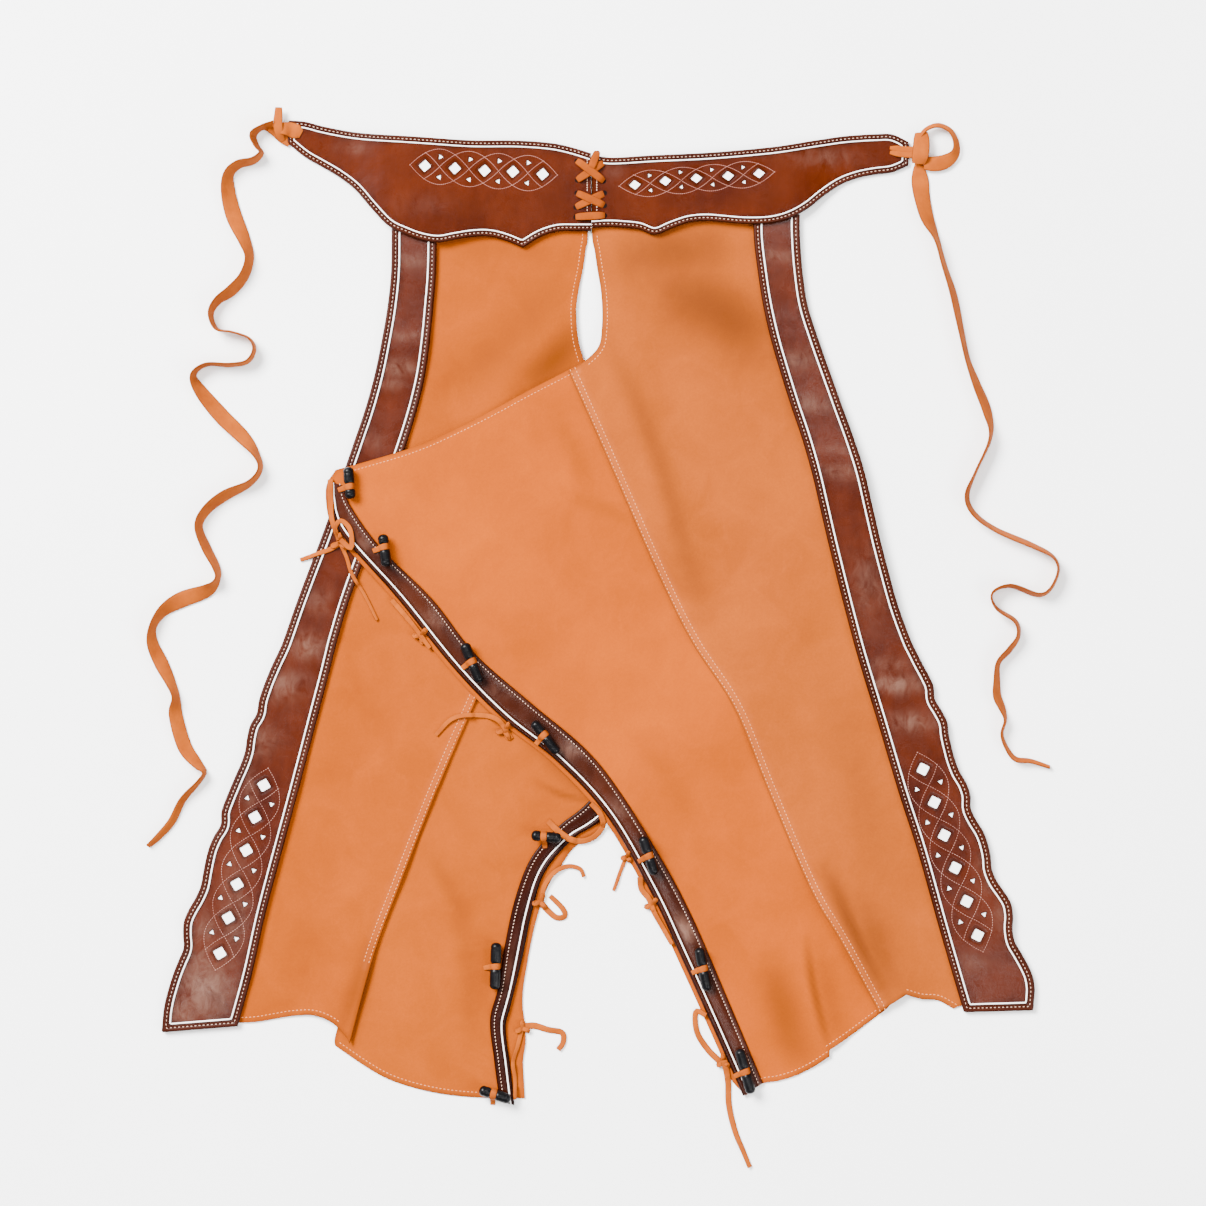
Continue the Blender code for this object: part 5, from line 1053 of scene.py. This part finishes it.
def white_inlays(name, holes):
    """White leather just below the surface in every cut-out."""
    points, faces = [], []
    for hole in holes:
        wide = hole.mean(axis=0) + (hole - hole.mean(axis=0)) * 1.15
        level = RELIEF.read(FIELDS[name], wide)
        first, count = len(points), len(wide)
        points += [(*spot, height - 0.9) for spot, height in zip(wide, level)]
        points += [(*spot, height - 1.3) for spot, height in zip(wide, level)]
        faces.append(tuple(range(first, first + count)))
        faces.append(tuple(reversed(range(first + count, first + 2 * count))))
        faces += [(first + k, first + (k + 1) % count, first + count + (k + 1) % count, first + count + k)
                  for k in range(count)]
    make_piece("inlays_" + name, points, faces, WHITE_BACKING)


def edge_trim(name, through):
    """The folded binding, its stitches and the white piping of a band or belt half."""
    start, end = BINDING_ENDS[name]
    path = u_path(RINGS[name], np.array(start, float), np.array(end, float), np.array(through, float))
    field = FIELDS[name]
    width, stitch_place, piping_place, piping_radius = TRIMS[name.split("_")[0]]
    rows = np.array(BINDING_PROFILE) * (width, 1.0)
    lines = [inset(path, away, False, 2.4) if away else even_line(path, 2.4) for away in rows[:, 0]]
    outline = np.vstack((lines[0], lines[-1][::-1]))
    if signed_area(outline) < 0:
        outline = outline[::-1]
    flat, faces = triangulate(outline, [(line, False) for line in lines[1:-1]], [], 0)
    away = nearest(flat, even_line(path, 0.4))
    level = RELIEF.read(field, flat)
    top = level + np.interp(away, rows[:, 0], rows[:, 1])
    groove = np.clip(1 - np.abs(away - stitch_place) / 1.0, 0, 1)
    ends = np.clip(1 - np.abs(away - width) / 0.8, 0, 1)
    dark = np.maximum(np.maximum(0.35 * groove, 0.7 * ends), np.clip(1 - away / 0.9, 0, 1) * 0.35)
    piece = shell("binding_" + name, flat, faces, top, np.minimum(level + 0.02, top - 0.05), BROWN_BINDING,
                  {"edge": dark})
    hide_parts(name + "_binding")
    wrap = even_line(path, 2.4)
    heights = RELIEF.read(field, wrap)
    profile = [(0.9, 0.4), (0.2, 0.45), (-0.25, 0.0), (-0.4, -0.8), (-0.4, -1.8), (-0.2, -2.6), (0.9, -2.7)]
    sweep("edge_" + name, wrap, heights, profile, BROWN_BINDING)
    cord = inset(path, piping_place, False, 2.4)
    tube = sweep("piping_" + name, cord, RELIEF.read(field, cord) + 0.75, round_profile(piping_radius),
                 WHITE_CORD)
    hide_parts(name + "_piping")
    row = inset(path, stitch_place, False, STITCH_PITCH)
    level = RELIEF.read(field, row) + 1.2
    stitches("stitches_" + name, [(row, level, STITCH_LENGTH)], 0.38, THREAD_WHITE)


def stitches(name, rows, radius, material, slant=0.0):
    """Short thread stitches along rows of line, heights, stitch length, as one mesh."""
    rings = ((-1.0, 0.5), (-0.6, 1.0), (0.6, 1.0), (1.0, 0.5))
    sides = 5
    points, faces = [], []
    for line, heights, length in rows:
        tangent = np.gradient(line, axis=0)
        tangent /= np.linalg.norm(tangent, axis=1)[:, None]
        rise = np.gradient(heights) / np.maximum(
            np.linalg.norm(np.gradient(line, axis=0), axis=1), 1e-6)
        turn = math.radians(slant)
        for spot, height, along, climb in zip(line, heights, tangent, rise):
            aim = np.array((along[0] * math.cos(turn) - along[1] * math.sin(turn),
                            along[0] * math.sin(turn) + along[1] * math.cos(turn)))
            side = np.array((-aim[1], aim[0]))
            first = len(points)
            for place, size in rings:
                centre = spot + aim * place * length / 2
                lift = height + climb * place * length / 2 - 0.25 * radius * abs(place) ** 3
                for k in range(sides):
                    angle = math.tau * k / sides
                    across = side * radius * size * math.cos(angle)
                    points.append((centre[0] + across[0], centre[1] + across[1],
                                   lift + radius * size * math.sin(angle)))
            for ring in range(len(rings) - 1):
                for k in range(sides):
                    a, b = first + ring * sides + k, first + ring * sides + (k + 1) % sides
                    faces.append((a, b, b + sides, a + sides))
            faces.append(tuple(first + k for k in range(sides)))
            last = first + (len(rings) - 1) * sides
            faces.append(tuple(last + k for k in reversed(range(sides))))
    return make_piece(name, points, faces, material, smooth_angle=80)


def lens_lines(name):
    """Interlaced lens stitch lines round a row of cut-outs, each lens two pitches long."""
    centres, height, pitch, length = CUT_ROWS[name]
    first, last = np.array(centres[0], float), np.array(centres[-1], float)
    count = len(centres)
    run = (last - first) / (count - 1)
    side = np.array((-run[1], run[0])) / np.linalg.norm(run)
    spans = [(k + 0.5, -1.0, 1.0) for k in range(count - 1)]
    spans += [(-0.5, 0.5, 1.0), (count - 0.5, -1.0, -0.5)]
    rows = []
    for middle, low, high in spans:
        for sign in (-1, 1):
            share = np.linspace(low, high, 60)
            bow = height * (1 - np.abs(share) ** 1.9)
            line = first + run * (middle + share)[:, None] + side * (sign * bow)[:, None]
            line = even_line(line, pitch)
            rows.append((line, RELIEF.read(FIELDS[name], line) + 0.02, length))
    thread = THREAD_FINE if name.startswith("belt") else THREAD_LENS
    stitches("lenses_" + name, rows, 0.28, thread)


def closure_strip(name, inner_rows, outer_rows, material):
    """A toggle strip: rolled dark outer edge, piping, stitched inner side."""
    inner, outer = smooth_line(inner_rows, 1.0), smooth_line(outer_rows, 1.0)
    count = round(len(inner) / 3.0)
    share = np.linspace(0, 1, count)
    inner = np.column_stack([np.interp(share, np.linspace(0, 1, len(inner)), inner[:, k]) for k in (0, 1)])
    outer = np.column_stack([np.interp(share, np.linspace(0, 1, len(outer)), outer[:, k]) for k in (0, 1)])
    ring = np.vstack((inner, outer[::-1]))
    if signed_area(ring) < 0:
        ring = ring[::-1]
    RINGS[name] = ring
    field = RELIEF.lay(name, ring, STRIP_THICK, 6.0)
    FIELDS[name] = field
    straight = inner - outer
    widths = np.linalg.norm(straight, axis=1)
    straight /= widths[:, None]
    room = np.clip((widths - 6.0) / 15.0, 0.3, 1.0)[:, None]
    columns = [(outer + straight * away * room, rise, away) for away, rise in STRIP_PROFILE]
    columns += [(inner - straight * away, rise, 50 - away) for away, rise in STRIP_INNER_PROFILE]
    sides = len(columns)
    level = RELIEF.read(field, 0.5 * (inner + outer)) - 0.35
    points, dark = [], []
    # The strips' pale values are painted highlights along their middles.
    haze = bloom_and_highlight_values(name, 0.55 * inner + 0.45 * outer)
    pale = []
    for row in range(count):
        for line, rise, away in columns:
            points.append((*line[row], level[row] + rise))
            pale.append(haze[row] * (8.5 < away < 45))
            rolled = 0.75 * max(0.0, 1 - abs(away - 0.5) / 4.0)
            seam = max(0.0, 1 - abs(away - STRIP_PIPING_PLACE) / 2.2)
            stitched = 0.5 * max(0.0, 1 - abs(away - (50 - STRIP_STITCH)) / 1.2)
            dark.append(max(rolled, seam, stitched, 0.8 * (away >= 49.6)))
        for line in (inner - straight * 0.3, outer + straight * 0.3):
            points.append((*line[row], level[row] - STRIP_THICK + 0.3))
            dark.append(1.0)
            pale.append(0.0)
    total = sides + 2
    faces = [(k * total + i, k * total + (i + 1) % total, (k + 1) * total + (i + 1) % total,
              (k + 1) * total + i) for k in range(count - 1) for i in range(total)]
    faces.append(tuple(range(total)))
    faces.append(tuple((count - 1) * total + i for i in reversed(range(total))))
    piece = make_piece("closure_" + name, points, faces, material,
                       {"edge": dark, "pale": pale}, 70)
    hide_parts(name)
    cord = outer + straight * STRIP_PIPING_PLACE * room
    tube = sweep("piping_" + name, cord, level + 0.35, round_profile(0.78), WHITE_CORD)
    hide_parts(name + "_piping")
    row = even_line(np.column_stack((inner - straight * STRIP_STITCH, level)), STRIP_PITCH)
    stitches("stitches_" + name, [(row[:, :2], row[:, 2] + 0.15, 1.8)], 0.4, THREAD_WHITE, 12)


def seam_stitches():
    """White stitch rows along the leg seams, hems, crotch and flap edge."""
    for number, (name, start, end, away, pitch) in enumerate(EDGE_ROWS):
        line = inset(ring_part(RINGS[name], start, end), away, False, pitch)
        heights = RELIEF.read(FIELDS[name], line) + 0.02
        stitches(f"seam_row_{number}", [(line, heights, 0.55 * pitch)], 0.42, THREAD_TAN)


# Straps, thongs and knots

def ribbon(name, stations, thick, material, cup=0.0, parts=None):
    """A strap through stations of across, down, height, width and turn in degrees."""
    stations = np.asarray(stations, float)
    centres = stations[:, :3]
    tangent = np.gradient(centres, axis=0)
    tangent /= np.maximum(np.linalg.norm(tangent, axis=1), 1e-9)[:, None]
    flat = np.column_stack((-tangent[:, 1], tangent[:, 0], np.zeros(len(tangent))))
    length = np.linalg.norm(flat, axis=1)
    for k in range(1, len(flat)):
        if length[k] < 0.15:
            flat[k] = flat[k - 1]
    flat /= np.maximum(np.linalg.norm(flat, axis=1), 1e-9)[:, None]
    up = np.cross(flat, tangent)
    up *= np.where(up[:, 2] < 0, -1, 1)[:, None]
    section = [(-1.0, 0.0), (-0.97, 0.62), (-0.85, 1.0), (-0.4, 1.0), (0.0, 1.0), (0.4, 1.0), (0.85, 1.0),
               (0.97, 0.62), (1.0, 0.0), (0.97, -0.62), (0.85, -1.0), (0.4, -1.0), (0.0, -1.0),
               (-0.4, -1.0), (-0.85, -1.0), (-0.97, -0.62)]
    points, dark = [], []
    for centre, side, rise, (width, turn) in zip(centres, flat, up, stations[:, 3:5]):
        angle = math.radians(turn)
        wide = side * math.cos(angle) + rise * math.sin(angle)
        out = rise * math.cos(angle) - side * math.sin(angle)
        for across, level in section:
            bend = -cup * across * across
            spot = centre + wide * across * width / 2 + out * (level * thick / 2 + bend)
            points.append(tuple(spot))
            dark.append(0.8 if abs(across) > 0.96 else 0.0)
    count, rows = len(section), len(stations)
    faces = [(k * count + i, k * count + (i + 1) % count, (k + 1) * count + (i + 1) % count,
              (k + 1) * count + i) for k in range(rows - 1) for i in range(count)]
    faces.append(tuple(range(count)))
    faces.append(tuple((rows - 1) * count + i for i in reversed(range(count))))
    if parts is not None:
        base = len(parts[0])
        parts[0].extend(points)
        parts[1].extend(tuple(index + base for index in face) for face in faces)
        parts[2].extend(dark)
        return None
    return make_piece(name, points, faces, material, {"edge": dark, "shade": None}, 60)


def waist_tie(name, rows, exit_note):
    """A long suede tie that turns between lying flat and standing on edge."""
    line = smooth_line(rows, 3.0)
    wobble = np.sin(np.arange(len(line)) * 0.21) * 2.0
    turn = np.radians(np.clip(line[:, 3] + wobble, 3, 86))
    rise = 0.5 * line[:, 2] * np.sin(turn) + 0.5 * TIE_THICK * np.cos(turn)
    ground = np.zeros(len(line))
    for share in np.linspace(-0.6, 0.6, 7):
        normal = inward(line[:, :2], False)
        spots = line[:, :2] + normal * (share * line[:, 2] * np.cos(turn))[:, None]
        ground = np.maximum(ground, RELIEF.read(RELIEF.height, spots))
    ground = np.array([ground[max(0, k - 2):k + 3].max() for k in range(len(ground))])
    stations = np.column_stack((line[:, :2], ground + 0.5 + rise, line[:, 2], np.degrees(turn)))
    piece = ribbon(name + "_strap", stations, TIE_THICK, SUEDE, 0.25)
    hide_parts(name)
    return piece


def low_strap(route, width, lift=0.0, parts=None, name="", thick=THONG_THICK, turns=(0, 0), step=2.0,
              taper=1.0):
    """A strap that follows the leather along a route; its stations are returned too."""
    line = smooth_line(route, step)
    ground = RELIEF.read(RELIEF.height, line)
    for share in (-0.5, 0.5):
        side = inward(line, False)
        ground = np.maximum(ground, RELIEF.read(RELIEF.height, line + side * share * width))
    ground = np.array([ground[max(0, k - 1):k + 2].max() for k in range(len(ground))])
    share = np.linspace(0, 1, len(line))
    turn = np.interp(share, (0, 1), turns) + 10 * np.sin(share * 9 + width)
    widths = width * (1 - (1 - taper) * share ** 2)
    rise = 0.5 * widths * np.abs(np.sin(np.radians(turn))) + 0.5 * thick
    stations = np.column_stack((line, ground + rise + lift + 0.1, widths, turn))
    if parts is not None:
        ribbon(name, stations, thick, SUEDE, 0.12, parts=parts)
        return stations, None
    return stations, ribbon(name, stations, thick, SUEDE, 0.12)


def knot_parts(parts, across, down, half_across, half_down, turn, height, width, thick):
    """A tight overhand knot of strap, seen from above as crossing wraps."""
    middle = float(RELIEF.read(RELIEF.height, np.array([[across, down]]))[0])
    angle = math.radians(turn)
    around = np.linspace(0, math.tau, 40)
    x = 0.62 * half_across * (np.sin(around) + 0.75 * np.sin(2 * around))
    y = 0.62 * half_down * (np.cos(around) - 0.75 * np.cos(2 * around))
    flat = np.column_stack((across + x * math.cos(angle) - y * math.sin(angle),
                            down + x * math.sin(angle) + y * math.cos(angle)))
    ground = np.maximum(middle, RELIEF.read(RELIEF.height, flat))
    z = ground + 0.5 * thick + 0.5 * height * (1 + 0.75 * np.sin(3 * around))
    stations = np.column_stack((flat, z, np.full(40, width), 18 * np.sin(2 * around)))
    ribbon("", stations, thick, SUEDE, 0.2, parts=parts)


def thong_tails():
    """Free thong tails, a cord piece each, and the knots that they spring from."""
    for group in sorted({row[0] for row in TAIL_ROUTES}):
        knots = ([], [], [])
        for _, across, down, half_across, half_down, turn in [row for row in TAIL_KNOTS if row[0] == group]:
            knot_parts(knots, across, down, half_across, half_down, turn, 3.4, 4.6, 1.5)
        strands = [row for row in TAIL_ROUTES if row[0] == group]
        for number, (_, width, route) in enumerate(strands):
            stations, piece = low_strap(route, width, 0.15 * number, None, f"tail_{group}_{number}",
                                        turns=(0, 25 if number % 2 else -18), taper=0.8)
        lump = None
        if knots[0]:
            lump = make_piece("knot_" + group, knots[0], knots[1], SUEDE,
                              {"edge": knots[2], "shade": None}, 60)
            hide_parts("tails_" + group)
        else:
            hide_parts("tails_" + group)


def toggle(name, start_a, start_d, end_a, end_d, neck_share):
    """A turned horn bar, and the thong round its neck that runs to a hole beside it."""
    low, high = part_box("toggle_" + name)
    centre = 0.5 * (low.z + high.z) / MM
    start, end = np.array((start_a, start_d)), np.array((end_a, end_d))
    length = np.linalg.norm(end - start)
    axis = (end - start) / length
    side = np.array((-axis[1], axis[0]))
    neck = neck_share * length
    runs = np.concatenate(([0, 0.25, 0.7, 1.4, 2.6], np.linspace(4.2, length - 4.2, 26),
                           [length - 2.6, length - 1.4, length - 0.7, length - 0.25, length]))
    ends = np.minimum(runs, length - runs)
    body = 5.4 * np.clip(1 - (1 - np.clip(ends / 4.8, 0, 1)) ** 2.2, 0, 1) ** 0.5
    waist = 1.7 * np.exp(-((runs - neck) / 3.6) ** 4)
    ring = 0.35 * np.exp(-((ends - 6.0) / 0.8) ** 2)
    radii = np.maximum(body - waist - ring, 0.02)
    sides = 28
    points = []
    for run, radius in zip(runs, radii):
        spot = start + axis * run
        for k in range(sides):
            angle = math.tau * k / sides
            across = side * radius * math.cos(angle)
            points.append((spot[0] + across[0], spot[1] + across[1], centre + radius * math.sin(angle)))
    faces = [(k * sides + i, k * sides + (i + 1) % sides, (k + 1) * sides + (i + 1) % sides,
              (k + 1) * sides + i) for k in range(len(runs) - 1) for i in range(sides)]
    faces.append(tuple(range(sides)))
    faces.append(tuple((len(runs) - 1) * sides + i for i in reversed(range(sides))))
    bar = make_piece("horn_" + name, points, faces, BLACK_HORN, smooth_angle=75)
    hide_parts("toggle_" + name)
    middle = start + axis * neck
    out = side if name.startswith("left") else side
    ground = float(RELIEF.read(RELIEF.height, (middle + out * 8)[None, :])[0])
    under = float(RELIEF.read(RELIEF.height, (middle - out * 5)[None, :])[0])
    reach = 4.35
    route = [(-reach * 0.98, under + 1.0), (-reach, centre - 1.0)]
    route += [(-reach * math.cos(turn), centre + reach * math.sin(turn))
              for turn in np.linspace(0.15, math.pi - 0.15, 12)]
    route += [(reach + 0.2, centre - 0.8), (reach + 1.6, 0.5 * (centre + ground)), (reach + 4.2, ground + 1.5),
              (reach + 7.5, ground + 0.6)]
    stations = []
    for number, (across, height) in enumerate(route):
        spot = middle + out * across + axis * 0.25 * max(0.0, across)
        width = THONG_WIDTH if number < 15 else THONG_WIDTH - 0.5 * (number - 14)
        stations.append((spot[0], spot[1], height, width, 0))
    thong = ribbon("loop_" + name, smooth_line(stations, 1.2), THONG_THICK, SUEDE, 0.1)
    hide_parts("thong_" + name)


def lacing():
    """The crossed lace at the centre front, black discs as painted shadow in its holes, and the stitches between
    them.
    """
    groups = {}
    for name, start_a, start_d, end_a, end_d, level in LACES:
        groups.setdefault(name, []).append(((start_a, start_d), (end_a, end_d), level))
    holes = []
    for name, strands in groups.items():
        parts = ([], [], [])
        low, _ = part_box(name)
        rest = low.z / MM
        for start, end, level in strands:
            start, end = np.array(start, float), np.array(end, float)
            share = np.linspace(0, 1, 14)
            line = start + (end - start) * share[:, None]
            bow = np.minimum(1.0, np.minimum(share, 1 - share) / 0.12)
            heights = rest - 1.6 + (1.6 + LACE_THICK / 2 + LACE_RISE * level) * bow ** 0.6
            width = LACE_WIDTH * (0.72 + 0.28 * np.sin(np.pi * share) ** 0.4)
            stations = np.column_stack((line, heights, width, 6 * np.sin(share * 6)))
            ribbon("", stations, LACE_THICK, LACE_SUEDE, 0.15, parts=parts)
            holes += [start, end]
        piece = make_piece("lace_" + name, parts[0], parts[1], LACE_SUEDE,
                           {"edge": parts[2], "shade": None}, 60)
        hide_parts(name)
    # Painted shadow: a black disc fills each lace hole.
    points, faces = [], []
    for hole in holes:
        level = float(RELIEF.read(RELIEF.height, hole[None, :])[0])
        first = len(points)
        for height, radius in ((level + 0.12, 2.6), (level - 0.6, 2.2)):
            points += [(hole[0] + radius * math.cos(turn), hole[1] + radius * math.sin(turn), height)
                       for turn in np.linspace(0, math.tau, 14, endpoint=False)]
        faces.append(tuple(range(first, first + 14)))
        faces.append(tuple(reversed(range(first + 14, first + 28))))
        faces += [(first + k, first + (k + 1) % 14, first + 14 + (k + 1) % 14, first + 14 + k)
                  for k in range(14)]
    make_piece("lace_hole_shadows", points, faces, HOLE_SHADOW)
    rows = []
    for across in (587.3, 596.8):
        for low, high in ((160.5, 190.5), (207.5, 213.5)):
            line = np.column_stack((np.full(2, across), (low, high)))
            line = even_line(line, 2.6)
            rows.append((line, RELIEF.read(RELIEF.height, line) + 0.15, 1.7))
    stitches("centre_stitches", rows, 0.45, THREAD_WHITE)


def knot_left():
    """The left tie's knot: strap through the belt's end, turned round itself, its short end up."""
    parts = ([], [], [])
    top = float(RELIEF.read(RELIEF.height, np.array([[300.0, 133.0]]))[0])
    mid = 8.0
    fold = [(301, 134, top + 0.4, 9, 0), (297, 132, top + 1.6, 15, 0), (291, 130, top + 2.2, 15.5, -6),
            (284, 129, mid + 1.0, 13, -10), (277, 128.5, mid - 1.0, 11, 0)]
    ribbon("", smooth_line(fold, 1.6), TIE_THICK, SUEDE, 0.3, parts=parts)
    end = [(282, 141, 4.0, 7, 0), (279.5, 133, mid + 1.4, 9, 0), (278.5, 124, mid + 3.0, 9.5, 0),
           (278.8, 116, mid + 1.6, 8.6, 0), (279, 108, mid, 7.2, 0)]
    ribbon("", smooth_line(end, 1.6), TIE_THICK, SUEDE, 0.3, parts=parts)
    under = [(270, 127, 6.0, 12, 30), (276, 131, 5.0, 12, 10), (283, 138, 3.6, 11, 0), (290, 143.5, 2.4, 8, 0)]
    ribbon("", smooth_line(under, 1.6), TIE_THICK, SUEDE, 0.2, parts=parts)
    piece = make_piece("knot_left_wraps", parts[0], parts[1], SUEDE,
                       {"edge": parts[2], "shade": None}, 60)
    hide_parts("knot_left")


def knot_right():
    """The right tie's knot: pleated strap out of the belt, one flat turn and an open ring beyond."""
    parts = ([], [], [])
    top = float(RELIEF.read(RELIEF.height, np.array([[897.0, 151.0]]))[0])
    for shift, width in ((-2.2, 6.5), (2.4, 7.0)):
        pleat = [(890, 150 + shift, top + 0.3, 3.5, 0), (897, 151 + shift, top + 1.6, width, 14 * shift / 2),
                 (905, 152 + shift, top + 2.4, width, 0), (914, 152.5 + shift, 8.0, width, 0)]
        ribbon("", smooth_line(pleat, 1.5), TIE_THICK, SUEDE, 0.3, parts=parts)
    turn = [(921, 133, 7.4, 13, -8), (921, 140, 9.8, 16, 0), (920.5, 150, 10.6, 17, 0),
            (919.5, 158, 9.8, 16.5, 0), (918.5, 164, 7.2, 14, 12)]
    ribbon("", smooth_line(turn, 1.6), TIE_THICK, SUEDE, 0.35, parts=parts)
    ring = [(918, 139, 7.2, 6, 60), (926, 129.5, 8.0, 7, 58), (938, 125.8, 8.4, 8, 52), (950, 131, 8.2, 9, 55),
            (956, 143, 7.6, 10, 50), (955, 154, 6.8, 12, 38), (946, 161.5, 6.0, 15, 20),
            (935, 164, 5.4, 15, 8), (924, 163.5, 5.0, 13, 0)]
    ribbon("", smooth_line(ring, 1.8), TIE_THICK, SUEDE, 0.25, parts=parts)
    piece = make_piece("knot_right_wraps", parts[0], parts[1], SUEDE,
                       {"edge": parts[2], "shade": None}, 60)
    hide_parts("knot_right")


# Stage

def light_panel(name, place, size, energy, aim=(0.0, 0.0, 0.0), colour=(1.0, 1.0, 1.0)):
    """A rectangular soft light that looks at a point."""
    data = bpy.data.lights.new(name, "AREA")
    data.shape = "RECTANGLE"
    data.size, data.size_y = size
    data.energy = energy
    data.color = colour
    lamp = bpy.data.objects.new(name, data)
    lamp.location = place
    lamp.rotation_euler = (Vector(aim) - Vector(place)).to_track_quat("-Z", "Y").to_euler()
    bpy.context.scene.collection.objects.link(lamp)


def stage():
    """A white surface, soft light and the camera straight above."""
    mesh = bpy.data.meshes.new("floor")
    side = 6.0
    mesh.from_pydata([(-side, -side, 0), (side, -side, 0), (side, side, 0), (-side, side, 0)], [],
                     [(0, 1, 2, 3)])
    floor = bpy.data.objects.new("floor", mesh)
    paint = Paint("white_floor")
    tint = paint.mix(paint.spread(paint.noise(3.0, 2.0, 0.5), 0.3, 0.7), srgb(250, 250, 250), srgb(254, 254, 254))
    mesh.materials.append(paint.finish(tint, 0.85, None, Specular_IOR_Level=0.1))
    bpy.context.scene.collection.objects.link(floor)
    light_panel("key", (-3.2, 2.8, 4.2), (3.0, 2.4), 2150)
    light_panel("fill", (3.2, -2.0, 3.4), (2.6, 2.6), 290)
    light_panel("gloss_upper", (0.0, 1.05, 3.2), (1.8, 0.2), 50)
    light_panel("gloss_lower", (0.0, -1.05, 3.2), (1.8, 0.2), 50)
    world = bpy.data.worlds.new("white_studio")
    world.use_nodes = True
    world.node_tree.nodes["Background"].inputs["Color"].default_value = (1, 1, 1, 1)
    world.node_tree.nodes["Background"].inputs["Strength"].default_value = 0.55
    bpy.context.scene.world = world
    data = bpy.data.cameras.new("camera")
    height = 3.5
    data.sensor_width = 36.0
    data.lens = 36.0 * (height - 0.004) / (PHOTO_SIDE * MM)
    data.clip_end = 20
    camera = bpy.data.objects.new("camera", data)
    camera.location = ((PHOTO_SIDE / 2 - CENTRE_ACROSS) * MM, (CENTRE_DOWN - PHOTO_SIDE / 2) * MM, height)
    bpy.context.scene.collection.objects.link(camera)
    bpy.context.scene.camera = camera


for node_name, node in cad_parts.items():
    if node_name.endswith("_underlay"):
        node.data.materials.clear()
        node.data.materials.append(WHITE_BACKING)

leg_panel("panel_left_back", TAN_LEFT_BACK)
leg_panel("panel_left_front", TAN_LEFT)
stiff_base("band_left", BROWN_BAND, 9.0)
edge_trim("band_left", (200, 1028))
closure_strip("strip_left", STRIP_LEFT_INNER, STRIP_LEFT_OUTER, DARK_STRIP)
leg_panel("panel_right_back", TAN_FLAP)
leg_panel("panel_right_front", TAN_RIGHT)
stiff_base("band_right", BROWN_BAND, 9.0)
edge_trim("band_right", (1000, 1011))
closure_strip("strip_right", STRIP_RIGHT_INNER, STRIP_RIGHT_OUTER, BROWN_STRIP)
stiff_base("belt_left", BROWN_BELT, 9.0)
edge_trim("belt_left", (288, 130))
stiff_base("belt_right", BROWN_BELT, 9.0)
edge_trim("belt_right", (908.5, 150))
for cut_row in CUT_ROWS:
    lens_lines(cut_row)
seam_stitches()
lacing()
for toggle_row in TOGGLES:
    toggle(*toggle_row)
thong_tails()
knot_left()
knot_right()
waist_tie("tie_left", TIE_LEFT_ROUTE, "knot_left")
waist_tie("tie_right", TIE_RIGHT_ROUTE, "knot_right")
stage()
